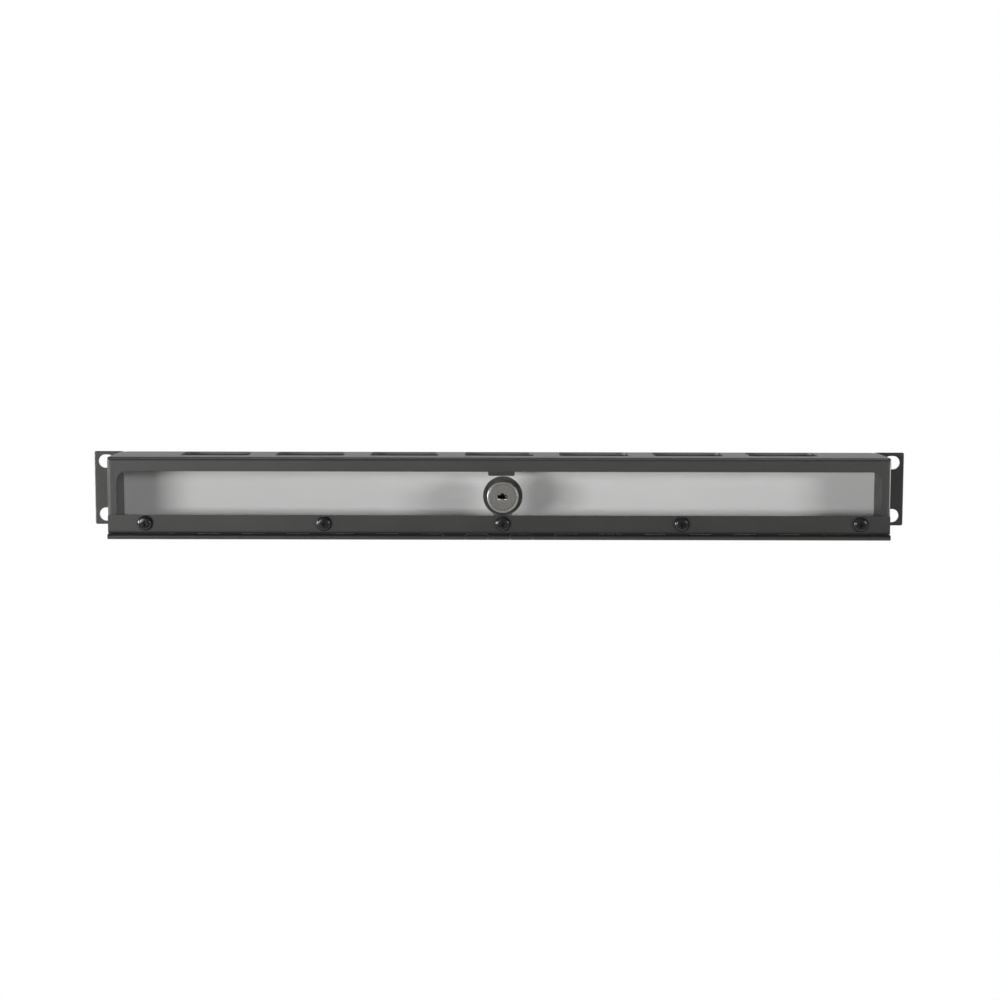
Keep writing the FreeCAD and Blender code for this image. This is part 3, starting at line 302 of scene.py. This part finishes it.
def turned(profile, steps, axis):
    """A closed shape turned about an axis, from (radius, height) points that run round its section."""
    shape = bmesh.new()
    rings = []
    for radius, height in profile:
        ring = []
        for step in range(steps if radius > 0 else 1):
            angle = 2 * math.pi * step / steps
            side, out = radius * math.cos(angle), radius * math.sin(angle)
            spot = (side, out, height) if axis == "Z" else (side, height, out)
            ring.append(shape.verts.new(spot))
        rings.append(ring)
    closed = profile[0][0] > 0
    pairs = list(zip(rings, rings[1:])) + ([(rings[-1], rings[0])] if closed else [])
    for ring, other in pairs:
        for step in range(steps):
            after = (step + 1) % steps
            corners = [ring[step % len(ring)], ring[after % len(ring)],
                       other[after % len(other)], other[step % len(other)]]
            corners = list(dict.fromkeys(corners))
            if len(corners) > 2:
                shape.faces.new(corners)
    bmesh.ops.recalc_face_normals(shape, faces=shape.faces)
    return shape


def as_mesh(shape, name):
    """A mesh from a shape, smooth except at its sharp edges."""
    made = bpy.data.meshes.new(name)
    shape.to_mesh(made)
    shape.free()
    made.shade_smooth()
    made.set_sharp_from_angle(angle=math.radians(SHARP_ANGLE))
    return made


def take_in(shape, mesh):
    """Adds a mesh to a shape, and drops the mesh."""
    shape.from_mesh(mesh)
    bpy.data.meshes.remove(mesh)


def round_corner(centre, radius, start, stop, parts=5):
    """Points of an arc in the section, angles in degrees from the outward direction."""
    angles = [math.radians(start + (stop - start) * part / parts) for part in range(parts + 1)]
    return [(centre[0] + radius * math.cos(angle), centre[1] + radius * math.sin(angle)) for angle in angles]


def row_tree():
    """Nodes that set one fastener out in a row."""
    tree = bpy.data.node_groups.new("fastener_row", "GeometryNodeTree")
    inputs = (("Geometry", "Geometry"), ("Count", "Int"), ("First", "Vector"), ("Step", "Vector"),
              ("Fastener", "Object"), ("Finish", "Material"))
    for name, kind in inputs:
        tree.interface.new_socket(name, in_out="INPUT", socket_type="NodeSocket" + kind)
    tree.interface.new_socket("Geometry", in_out="OUTPUT", socket_type="NodeSocketGeometry")
    given = tree.nodes.new("NodeGroupInput").outputs
    line = {"Count": given["Count"], "Start Location": given["First"], "Offset": given["Step"]}
    spots = put(tree, "GeometryNodeMeshLine", line, mode="OFFSET")
    info = tree.nodes.new("GeometryNodeObjectInfo")
    tree.links.new(given["Fastener"], info.inputs["Object"])
    copies = {"Points": spots, "Instance": info.outputs["Geometry"]}
    set_out = put(tree, "GeometryNodeInstanceOnPoints", copies)
    real = put(tree, "GeometryNodeRealizeInstances", {"Geometry": set_out})
    finished = put(tree, "GeometryNodeSetMaterial", {"Geometry": real, "Material": given["Finish"]})
    tree.links.new(finished, tree.nodes.new("NodeGroupOutput").inputs["Geometry"])
    return tree


def add_object(name, mesh):
    """An object at the origin that shows a mesh."""
    made = bpy.data.objects.new(name, mesh)
    bpy.context.scene.collection.objects.link(made)
    return made


def row_places(node, count, head):
    """The first fastener's place in a row and the step to the next, from the box of the row's solids."""
    low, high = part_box(node)
    middle = (low + high) / 2
    step = Vector(((high.x - low.x - 2 * head) / (count - 1), 0.0, 0.0))
    return Vector((low.x + head, middle.y, middle.z)), step


def set_out_row(name, fastener, count, first, step, finish):
    """A plain mesh of fasteners in a row, made by the row nodes."""
    model = add_object(name + "_model", fastener)
    made = add_object(name, bpy.data.meshes.new(name))
    modifier = made.modifiers.new("row", "NODES")
    modifier.node_group = fastener_row
    values = {"Count": count, "First": first, "Step": step, "Fastener": model, "Finish": finish}
    for item in fastener_row.interface.items_tree:
        if item.in_out == "INPUT" and item.name in values:
            modifier[item.identifier] = values[item.name]
    made.update_tag()
    evaluated = made.evaluated_get(bpy.context.evaluated_depsgraph_get())
    plain = bpy.data.meshes.new_from_object(evaluated)
    made.modifiers.remove(modifier)
    made.data = plain
    bpy.data.objects.remove(model)
    return made


def blind_rivet():
    """One rivet on the upright axis, at its true height."""
    low, high = (corner.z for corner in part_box("hinge_rivets"))
    leaf_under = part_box("bottom_plate")[0].z - LEAF_THICK
    floor_top = high - TAIL_HIGH
    sleeve = [(RIVET_BORE, high), (RIVET_BORE, low), (RIVET_BORE + RIVET_MOUTH, low)]
    sleeve += round_corner((RIVET_HEAD - RIVET_DOME, low + RIVET_DOME), RIVET_DOME, -90, DOME_STOP)
    sleeve += [(RIVET_HEAD, leaf_under), (RIVET_SHANK, leaf_under)]
    sleeve += [(RIVET_SHANK, floor_top), (RIVET_TAIL, floor_top)]
    sleeve += round_corner((RIVET_TAIL - TAIL_ROUNDING, high - TAIL_ROUNDING), TAIL_ROUNDING, 0, 90)
    mandrel_radius = RIVET_BORE - MANDREL_FIT
    mandrel = [(0, low + MANDREL_SINK), (MANDREL_TIP, low + MANDREL_SINK)]
    mandrel += [(mandrel_radius, low + 2 * MANDREL_SINK), (mandrel_radius, high - MANDREL_EDGE)]
    mandrel += [(MANDREL_BREAK, high), (0, high)]
    shape = turned(sleeve, LATHE_STEPS, "Z")
    take_in(shape, as_mesh(turned(mandrel, LATHE_STEPS, "Z"), "mandrel"))
    return as_mesh(shape, "blind_rivet")


fastener_row = row_tree()
gloss = glossy_black()
rivet_first, rivet_step = row_places("hinge_rivets", RIVET_COUNT, RIVET_HEAD)
rivet_first.z = 0.0
rivets = set_out_row("rivet_row", blind_rivet(), RIVET_COUNT, rivet_first, rivet_step, gloss)
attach(rivets, "frame")
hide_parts("hinge_rivets")


# Window pane: the door, a 3 mm sheet of clear cast acrylic, sawn, with polished faces.
# The cut edges are dull and painted nearly black with a trace of the sheet's green: painted shade along the
# edges and bevels, in place of what they refract.
# Clear sheet hardly dims the light, so it is left out of shadows and of what other pieces reflect.
PANE_FACE = (0.965, 0.975, 0.970, 1.0)
PANE_EDGE_SHADE = (0.04, 0.05, 0.045, 1.0)
PANE_INDEX = 1.49
PANE_GLOSS = 0.012
EDGE_ROUGH = 0.5
FACE_LIMIT = 0.9
WAVE_SIZE = 0.05
WAVE_STRENGTH = 0.05
WAVE_HEIGHT = 0.0004


def clear_acrylic():
    """Clear sheet with faintly wavy faces and edges painted dark as painted shade."""
    made, tree, shader = new_finish("clear_acrylic")
    wave = noise(tree, on_piece(tree), WAVE_SIZE)
    facing = split(tree, tree.nodes.new("ShaderNodeTexCoord").outputs["Normal"])
    flat = reckon(tree, "GREATER_THAN", reckon(tree, "ABSOLUTE", facing["Y"]), FACE_LIMIT)
    shader.inputs["Transmission Weight"].default_value = 1.0
    shader.inputs["IOR"].default_value = PANE_INDEX
    feed(tree, shader, Base_Color=two_tone(tree, flat, PANE_EDGE_SHADE, PANE_FACE),
         Roughness=spread(tree, flat, EDGE_ROUGH, PANE_GLOSS),
         Normal=raised(tree, wave, WAVE_STRENGTH, WAVE_HEIGHT))
    return made


dress("window_pane", clear_acrylic())
nodes["window_pane"].visible_shadow = False
nodes["window_pane"].visible_diffuse = False
nodes["window_pane"].visible_glossy = False


# Upper hinge leaf: the strip with 17 rolled knuckles across the foot of the pane.
# Steel of 0.8 mm with the frame's coat and painted shade in the crease above the knuckles, screwed to the
# pane.
dress("hinge_upper_leaf", hinge_coat_with_shade)


# Leaf screws: five domed screws with a cross recess, through the leaf and the pane.
# Glossy black plated steel with a rolled thread that ends just behind its nut.
SCREW_COUNT = 5
SCREW_HEAD = 0.0043
SCREW_ROUNDING = 0.0019
SCREW_CROWN = 0.032
HEAD_STEPS = 64
CROWN_PARTS = 4
ROUNDING_PARTS = 10
THREAD_MAJOR = 0.00198
THREAD_MINOR = 0.00162
THREAD_PITCH = 0.0007
THREAD_START = 0.0025
THREAD_STEPS = 24
THREAD_ROWS = 6
THREAD_FLANK = 1.6
THREAD_ROOT = 0.3
RECESS_MOUTH = (0.0019, 0.00045)
RECESS_FOOT = (0.0011, 0.00028)
RECESS_DEEP = 0.0017
RECESS_CLEAR = 0.001
MERGE_DISTANCE = 0.000001


def threaded(shape, centre, radii, pitch, start, end, steps, bore, flats=None):
    """A rolled thread about the depth axis, with a plain bore, and cut back at two flats if it has them."""
    minor, major = radii
    rows = int(round((end - start) / pitch * THREAD_ROWS))
    depths = [start + (end - start) * row / rows for row in range(rows + 1)]
    outside = [(depth, True) for depth in depths]
    rings = []
    for depth, on_thread in [(depths[0], False)] + outside + [(depths[-1], False)]:
        ring = []
        for step in range(steps):
            turn = step / steps
            rise = abs((depth / pitch - turn) % 1.0 - 0.5) * 2
            crest = min(max(THREAD_FLANK * rise - THREAD_ROOT, 0.0), 1.0)
            radius = minor + (major - minor) * crest if on_thread else bore
            side = radius * math.cos(2 * math.pi * turn)
            if flats:
                side = max(-flats, min(flats, side))
            spot = (centre.x + side, depth, centre.z + radius * math.sin(2 * math.pi * turn))
            ring.append(shape.verts.new(spot))
        rings.append(ring)
    for ring, other in zip(rings, rings[1:] + rings[:1]):
        for step in range(steps):
            after = (step + 1) % steps
            shape.faces.new((ring[step], ring[after], other[after], other[step]))
    bmesh.ops.recalc_face_normals(shape, faces=shape.faces)


def four_sided(shape, front, back):
    """Adds a closed block between two rows of four corners."""
    ends = [[shape.verts.new(corner) for corner in corners] for corners in (front, back)]
    for step in range(4):
        after = (step + 1) % 4
        shape.faces.new((ends[0][step], ends[0][after], ends[1][after], ends[1][step]))
    for end in ends:
        shape.faces.new(end)
    bmesh.ops.recalc_face_normals(shape, faces=shape.faces)


def recess_cutter(top):
    """The tapered cross that the driver's tip presses into the head."""
    cutter = bmesh.new()
    for turn in (0, math.pi / 2):
        ends = []
        for depth, (reach, half) in ((top - RECESS_CLEAR, RECESS_MOUTH), (top + RECESS_DEEP, RECESS_FOOT)):
            corners = ((-reach, -half), (reach, -half), (reach, half), (-reach, half))
            ends.append([(x * math.cos(turn) - z * math.sin(turn), depth,
                          x * math.sin(turn) + z * math.cos(turn)) for x, z in corners])
        four_sided(cutter, *ends)
    return cutter


def cut_from(solid, tool):
    """What is left of a mesh when a tool's mesh is taken out of it."""
    block, knife = add_object("block", solid), add_object("knife", tool)
    cut = block.modifiers.new("cut", "BOOLEAN")
    cut.operation, cut.solver, cut.object, cut.use_self = "DIFFERENCE", "EXACT", knife, True
    left = bpy.data.meshes.new_from_object(block.evaluated_get(bpy.context.evaluated_depsgraph_get()))
    for spare in (block, knife):
        bpy.data.objects.remove(spare)
    return left


def domed_screw():
    """One screw on the depth axis, its head's seat on the leaf."""
    low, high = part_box("leaf_screws")
    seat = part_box("window_pane")[0].y - LEAF_THICK
    thread_start = seat + THREAD_START
    shoulder = SCREW_HEAD - SCREW_ROUNDING
    slope = math.degrees(math.asin(shoulder / (SCREW_CROWN - SCREW_ROUNDING)))
    crown = round_corner((0, low.y + SCREW_CROWN), SCREW_CROWN, -90, slope - 90, CROWN_PARTS)
    depth = low.y + SCREW_CROWN - (SCREW_CROWN - SCREW_ROUNDING) * math.cos(math.radians(slope))
    side = round_corner((shoulder, depth), SCREW_ROUNDING, slope - 90, 0, ROUNDING_PARTS)
    profile = [(0, low.y)] + crown[1:] + side[1:]
    profile += [(SCREW_HEAD, seat), (THREAD_MAJOR, seat), (THREAD_MAJOR, thread_start), (0, thread_start)]
    blank = as_mesh(turned(profile, HEAD_STEPS, "Y"), "head")
    head = cut_from(blank, as_mesh(recess_cutter(low.y), "cross"))
    shape = bmesh.new()
    threaded(shape, Vector(), (THREAD_MINOR, THREAD_MAJOR), THREAD_PITCH, thread_start, high.y,
             THREAD_STEPS, bore=0.0)
    bmesh.ops.remove_doubles(shape, verts=shape.verts, dist=MERGE_DISTANCE)
    take_in(shape, head)
    return as_mesh(shape, "domed_screw")


screw_first, screw_step = row_places("leaf_screws", SCREW_COUNT, SCREW_HEAD)
screw_first.y = 0.0
screws = set_out_row("screw_row", domed_screw(), SCREW_COUNT, screw_first, screw_step, gloss)
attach(screws, "door")
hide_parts("leaf_screws")


# Washers and nuts behind the pane, one of each on every screw.
# Pressed steel, bright zinc-plated.
ZINC_DARK = (0.42, 0.42, 0.41, 1.0)
ZINC_LIGHT = (0.56, 0.56, 0.54, 1.0)
ZINC_SHEEN = (0.28, 0.42)
bright_zinc = plated("bright_zinc", ZINC_DARK, ZINC_LIGHT, ZINC_SHEEN,
                     mottle=0.004, scratch=0.0004, height=0.00002)
dress("leaf_washers", bright_zinc)
dress("leaf_nuts", bright_zinc)


# Lock body: head with a ring groove in front of the pane, barrel with two flats through it.
# Die-cast and nickel-plated, turned on the face, with a fine thread on the barrel for its nut.
# The head's rim is duller. The plug's keyway, in the same plate, has painted shade inside it and two painted
# glints below it: brighter, rougher spots that catch the lamps.
lock_axis = next(joint["pos_m"] for joint in frame["joints"] if joint["name"] == "lock_turn")
LOCK_CENTRE = Vector((lock_axis[0], 0.0, lock_axis[2]))
LOCK_THREAD = (0.00795, 0.00832)
LOCK_PITCH = 0.001
LOCK_FLATS = 0.00696
LOCK_BORE = 0.0077
LOCK_STEPS = 72
NUT_GAP = 0.0001
PLAIN_END = 0.0011
ACROSS_LOCK = (1.0, 0.0, 1.0)
NICKEL_DARK = (0.50, 0.49, 0.46, 1.0)
NICKEL_LIGHT = (0.60, 0.59, 0.56, 1.0)
NICKEL_SHEEN = (0.20, 0.28)
NICKEL_CLOUD = 0.004
NICKEL_GRAIN = 0.0006
TURNING_PITCH = 0.00022
TURNING_HEIGHT = 0.000012
TURNING_STRENGTH = 0.25
TURNING_WANDER = 0.6
TURNING_DETAIL = 1.0
WAVE_RATE = 20
RING_RADIUS = 0.0079
RING_HALF = 0.0006
RING_SINK = 0.00004
RIM_FROM = 0.0072
RIM_TO = 0.0082
RIM_ROUGH = 0.40
RIM_TONE = (0.36, 0.355, 0.335, 1.0)
# Painted shade: the dark tone inside the keyway, behind the face.
KEYWAY_SHADE_TONE = (0.02, 0.02, 0.02, 1.0)
KEYWAY_SHADE_LOW = (-0.0031, -0.0529, -0.00085)
KEYWAY_SHADE_HIGH = (0.0012, -0.036, 0.0022)
# Painted glints: two brighter, rougher spots just below the keyway, placed to catch the lamps.
GLINT_SPOT_TONE = (0.95, 0.94, 0.92, 1.0)
GLINT_SPOT_ROUGH = 0.45
GLINT_SPOTS = [
    ((-0.0029, -0.06, -0.0016), (-0.0014, 0.0, -0.0009)),
    ((0.0009, -0.06, -0.0016), (0.0022, 0.0, -0.0009)),
]


def ring_groove(tree, radius):
    """The facing of the head's ring groove, by the distance from its axis."""
    beside = reckon(tree, "COMPARE", radius, RING_RADIUS, RING_HALF)
    away = reckon(tree, "ABSOLUTE", reckon(tree, "SUBTRACT", radius, RING_RADIUS))
    return raised(tree, remap(tree, away, 0.0, RING_HALF, -RING_SINK, 0.0), beside, 1.0)


def turned_nickel():
    """Nickel plate over a turned face, with rings about its axis from a wave of WAVE_RATE radians a unit."""
    made, tree, shader = new_finish("turned_nickel")
    place = put(tree, "ShaderNodeMapping", {"Vector": on_piece(tree), "Location": -LOCK_CENTRE})
    radius = length(tree, reckon_place(tree, "MULTIPLY", place, ACROSS_LOCK))
    cloud = noise(tree, place, NICKEL_CLOUD, CLOUD_DETAIL)
    grain = noise(tree, place, NICKEL_GRAIN)
    wave = {"Vector": place, "Scale": 2 * math.pi / (WAVE_RATE * TURNING_PITCH),
            "Distortion": TURNING_WANDER, "Detail": TURNING_DETAIL}
    turning = put(tree, "ShaderNodeTexWave", wave, wave_type="RINGS", rings_direction="Y")
    skin = raised(tree, turning, TURNING_STRENGTH, TURNING_HEIGHT, ring_groove(tree, radius))
    rim = remap(tree, radius, RIM_FROM, RIM_TO, 0.0, 1.0)
    # Painted glints below the keyway.
    painted_glints = reckon(tree, "MAXIMUM", *(in_box(tree, place, low, high) for low, high in GLINT_SPOTS))
    # Painted shade inside the keyway.
    keyway_shade = in_box(tree, place, KEYWAY_SHADE_LOW, KEYWAY_SHADE_HIGH)
    tone = two_tone(tree, cloud, NICKEL_DARK, NICKEL_LIGHT)
    for share, other_tone in ((rim, RIM_TONE), (painted_glints, GLINT_SPOT_TONE), (keyway_shade, KEYWAY_SHADE_TONE)):
        tone = tinted(tree, share, tone, other_tone)
    rough = spread(tree, grain, *NICKEL_SHEEN)
    for share, other_rough in ((rim, RIM_ROUGH), (painted_glints, GLINT_SPOT_ROUGH)):
        rough = reckon(tree, "MAXIMUM", rough, reckon(tree, "MULTIPLY", share, other_rough))
    shader.inputs["Metallic"].default_value = 1.0
    feed(tree, shader, Base_Color=tone, Roughness=rough, Normal=skin)
    return made


nickel = turned_nickel()
dress("lock_body", nickel)
barrel_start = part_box("lock_nut")[1].y + NUT_GAP
barrel_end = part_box("lock_body")[1].y - PLAIN_END
thread_shape = bmesh.new()
threaded(thread_shape, LOCK_CENTRE, LOCK_THREAD, LOCK_PITCH, barrel_start, barrel_end, LOCK_STEPS,
         LOCK_BORE, LOCK_FLATS)
barrel_thread = add_object("barrel_thread", as_mesh(thread_shape, "barrel_thread"))
barrel_thread.data.materials.append(nickel)
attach(barrel_thread, "door")


# Lock washer and lock nut, which clamp the body to the pane from behind.
# Washer with teeth round its hole and hexagon nut, dark zinc-plated steel like the pin.
dress("lock_washer", dark_zinc)
dress("lock_nut", dark_zinc)


# Lock plug and wafers: the turning core with its keyway, and five wafers across it.
# The plug is nickel-plated like the body, the wafers are stamped brass.
KEYWAY_HALF = (0.0026, 0.0008)
KEYWAY_MOUTH = 0.00035
MOUTH_DEEP = 0.00045
FACE_DISH = 0.0005
BIT_LOW = (-0.0013, 0.0007)
BIT_HIGH = (0.0007, 0.0021)
BIT_DEEP = 0.0010
BRASS_DARK = (0.50, 0.36, 0.14, 1.0)
BRASS_LIGHT = (0.66, 0.49, 0.22, 1.0)
BRASS_SHEEN = (0.25, 0.4)


def tapered_block(front, back, outer, inner):
    """A closed block along the depth between two rectangles, each given by its low and high corners."""
    block = bmesh.new()
    ends = []
    for depth, (low, high) in ((front, outer), (back, inner)):
        corners = ((low[0], low[1]), (high[0], low[1]), (high[0], high[1]), (low[0], high[1]))
        ends.append([(LOCK_CENTRE.x + x, depth, LOCK_CENTRE.z + z) for x, z in corners])
    four_sided(block, *ends)
    return block


def keyed_plug_mesh():
    """The plug with a flared keyway mouth and the notch for the key's bitted edge.

    The mouth's cutter starts as far in front of the face as it goes in, so the flare there is half its own.
    """
    shape = bmesh.new()
    shape.from_mesh(nodes["lock_plug"].data)
    bmesh.ops.remove_doubles(shape, verts=shape.verts, dist=MERGE_DISTANCE)
    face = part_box("lock_plug")[0].y + FACE_DISH
    half_x, half_z = KEYWAY_HALF
    wide_x, wide_z = half_x + 2 * KEYWAY_MOUTH, half_z + 2 * KEYWAY_MOUTH
    inner = ((-half_x, -half_z), (half_x, half_z))
    outer = ((-wide_x, -wide_z), (wide_x, wide_z))
    bit = (BIT_LOW, BIT_HIGH)
    mouth = tapered_block(face - MOUTH_DEEP, face + MOUTH_DEEP, outer, inner)
    notch = tapered_block(face - MOUTH_DEEP, face + BIT_DEEP, bit, bit)
    made = as_mesh(shape, "plug")
    for name, cutter in (("mouth", mouth), ("notch", notch)):
        made = cut_from(made, as_mesh(cutter, name))
    made.shade_flat()
    return made


keyed_plug = add_object("keyed_plug", keyed_plug_mesh())
keyed_plug.data.materials.clear()
keyed_plug.data.materials.append(nickel)
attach(keyed_plug, "lock_core")
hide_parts("lock_plug")
brass = plated("stamped_brass", BRASS_DARK, BRASS_LIGHT, BRASS_SHEEN,
               mottle=0.003, scratch=0.0004, height=0.00002)
dress("lock_wafers", brass)


# Stop washer, cam, split washer and screw on the plug's tail.
# Pressed steel, bright zinc-plated.
for tail_piece in ("stop_washer", "lock_cam", "cam_washer", "cam_screw"):
    dress(tail_piece, bright_zinc)


# Studio: a pale floor well below, a white backdrop right behind the ears, and a white card in the frame.
# The card closes the frame's back, and shows through the pane with the shade that falls on it there.
FLOOR_Z = -0.36
FLOOR_SIDE = 3.0
FLOOR_FRONT = -0.5
FLOOR_BACK = 3.0
FLOOR_GREY = (0.8, 0.8, 0.8, 1.0)
SHADOW_NEAR = 0.36
SHADOW_FAR = 0.56
SHADOW_SHARE = 0.3
CARD_X = 0.2255
CARD_LOW = -0.0213
CARD_HIGH = 0.0213
CARD_Y = 0.0004
BACKDROP_X = 2.0
BACKDROP_HIGH = 0.042
BACKDROP_Y = 0.0008
WHITE = (1.0, 1.0, 1.0, 1.0)
CARD_WHITE = (0.86, 0.86, 0.85, 1.0)
NO_BOUNCE = 0.5


def sheet_of(name, corners, finish):
    """A flat stage piece from four corners."""
    mesh = bpy.data.meshes.new(name)
    mesh.from_pydata(corners, [], [(0, 1, 2, 3)])
    mesh.materials.append(finish)
    made = add_object(name, mesh)
    return made


def upright_sheet(name, half, depth, low, high, finish):
    """A stage piece that stands across the depth and throws no shadow."""
    corners = [(-half, depth, low), (half, depth, low), (half, depth, high), (-half, depth, high)]
    sheet_of(name, corners, finish).visible_shadow = False


def bare(name):
    """A new material with no shader yet, its tree and its surface socket."""
    made, tree, shader = new_finish(name)
    tree.nodes.remove(shader)
    return made, tree, tree.nodes["Material Output"].inputs["Surface"]


def seen_directly(tree, shiny=None):
    """One for a camera ray, straight or through clear sheet, and for a ray that a shiny surface sends on."""
    path = tree.nodes.new("ShaderNodeLightPath").outputs
    bounces = reckon(tree, "ADD", path["Diffuse Depth"], path["Glossy Depth"])
    straight = reckon(tree, "LESS_THAN", bounces, NO_BOUNCE)
    through = reckon(tree, "MULTIPLY", path["Is Transmission Ray"], straight)
    mirrored = path["Is Glossy Ray"]
    if shiny is not None:
        mirrored = reckon(tree, "MULTIPLY", mirrored, shiny)
    return reckon(tree, "MAXIMUM", reckon(tree, "MAXIMUM", path["Is Camera Ray"], mirrored), through)


def mixed(tree, share, first, second):
    """A mix of two shaders."""
    return put(tree, "ShaderNodeMixShader", {0: share, 1: first, 2: second})


def white_glow(tree):
    """A shader that is plain white to the eye."""
    return put(tree, "ShaderNodeEmission", {"Color": WHITE, "Strength": 1.0})


def pale_floor():
    """White to the eye, with the object's shadow kept near it."""
    made, tree, surface = bare("pale_floor")
    plain = put(tree, "ShaderNodeBsdfDiffuse", {"Color": FLOOR_GREY})
    kept = remap(tree, length(tree, on_piece(tree)), SHADOW_NEAR, SHADOW_FAR, SHADOW_SHARE, 0.0)
    shown = mixed(tree, kept, white_glow(tree), plain)
    tree.links.new(mixed(tree, seen_directly(tree), plain, shown), surface)
    return made


def white_sheet(name, glows):
    """A white surface that shows from its front only, plain white to the eye if it glows."""
    made, tree, surface = bare(name)
    front = put(tree, "ShaderNodeBsdfDiffuse", {"Color": CARD_WHITE})
    if glows:
        front = mixed(tree, seen_directly(tree), front, white_glow(tree))
    clear = put(tree, "ShaderNodeBsdfTransparent", {"Color": WHITE})
    behind = tree.nodes.new("ShaderNodeNewGeometry").outputs["Backfacing"]
    tree.links.new(mixed(tree, behind, front, clear), surface)
    return made


sheet_of("floor", [(-FLOOR_SIDE, FLOOR_FRONT, FLOOR_Z), (FLOOR_SIDE, FLOOR_FRONT, FLOOR_Z),
                   (FLOOR_SIDE, FLOOR_BACK, FLOOR_Z), (-FLOOR_SIDE, FLOOR_BACK, FLOOR_Z)], pale_floor())
upright_sheet("card", CARD_X, CARD_Y, CARD_LOW, CARD_HIGH, white_sheet("white_card", False))
upright_sheet("backdrop", BACKDROP_X, BACKDROP_Y, FLOOR_Z, BACKDROP_HIGH, white_sheet("white_backdrop", True))


# Surround and lamps: white to the eye behind, dim in front and above, as in a room with a few lamps.
# Two soft lamps level with the object, left and right of the camera, a small one beside it on the left,
# one high behind it and one that lights its back.
SURROUND_LOW = 0.24
SURROUND_HIGH = 0.12
HORIZON = 0.25
BACK_SPREAD = 0.90
LAMPS = [
    ("left", (-1.75, -3.03, 0.18), (1.30, 0.30), 52.0),
    ("right", (1.85, -2.36, 0.34), (0.90, 0.30), 22.0),
    ("side", (-1.60, -0.20, 0.10), (0.40, 0.40), 26.0),
    ("behind", (0.00, 1.80, 1.60), (2.60, 0.40), 8.0),
    ("back", (1.90, 0.90, 0.35), (0.60, 0.60), 16.0),
]

world = bpy.data.worlds.new("studio")
world.use_nodes = True
bpy.context.scene.world = world
sky = world.node_tree
sky.nodes.remove(sky.nodes["Background"])
direction = split(sky, sky.nodes.new("ShaderNodeTexCoord").outputs["Generated"])
dim = remap(sky, direction["Z"], -HORIZON, HORIZON, SURROUND_LOW, SURROUND_HIGH)
light = put(sky, "ShaderNodeBackground", {"Color": WHITE, "Strength": dim})
shown_white = put(sky, "ShaderNodeBackground", {"Color": WHITE, "Strength": 1.0})
at_back = reckon(sky, "GREATER_THAN", direction["Y"], BACK_SPREAD)
surround = mixed(sky, seen_directly(sky, at_back), light, shown_white)
sky.links.new(surround, sky.nodes["World Output"].inputs["Surface"])

for lamp_name, lamp_place, lamp_size, lamp_power in LAMPS:
    lamp = bpy.data.lights.new(lamp_name, "AREA")
    lamp.shape = "RECTANGLE"
    lamp.size, lamp.size_y = lamp_size
    lamp.energy = lamp_power
    stand = bpy.data.objects.new(lamp_name, lamp)
    stand.location = lamp_place
    stand.rotation_euler = (-Vector(lamp_place)).to_track_quat("-Z", "Y").to_euler()
    bpy.context.scene.collection.objects.link(stand)


# Camera: at the photograph's viewing angle, a little above the object's middle and almost square on.
# A long lens about 1.1 m away, pitched down a little and rolled by a trace, as the frame's edges show it.
CAMERA_PLACE = Vector((0.00050, -1.11887, 0.10763))
CAMERA_LEVEL = 90.0
CAMERA_PITCH = -5.8535
CAMERA_ROLL = 0.1152
CAMERA_LENS = 67.698
SENSOR = 36.0
NEAREST = 0.01
FARTHEST = 50.0

lens = bpy.data.cameras.new("camera")
lens.lens = CAMERA_LENS
lens.sensor_width = SENSOR
lens.clip_start = NEAREST
lens.clip_end = FARTHEST
camera = bpy.data.objects.new("camera", lens)
camera.matrix_world = (Matrix.Translation(CAMERA_PLACE)
                       @ Matrix.Rotation(math.radians(CAMERA_LEVEL + CAMERA_PITCH), 4, "X")
                       @ Matrix.Rotation(math.radians(CAMERA_ROLL), 4, "Z"))
bpy.context.scene.collection.objects.link(camera)
bpy.context.scene.camera = camera
bpy.context.scene.view_settings.view_transform = "Standard"
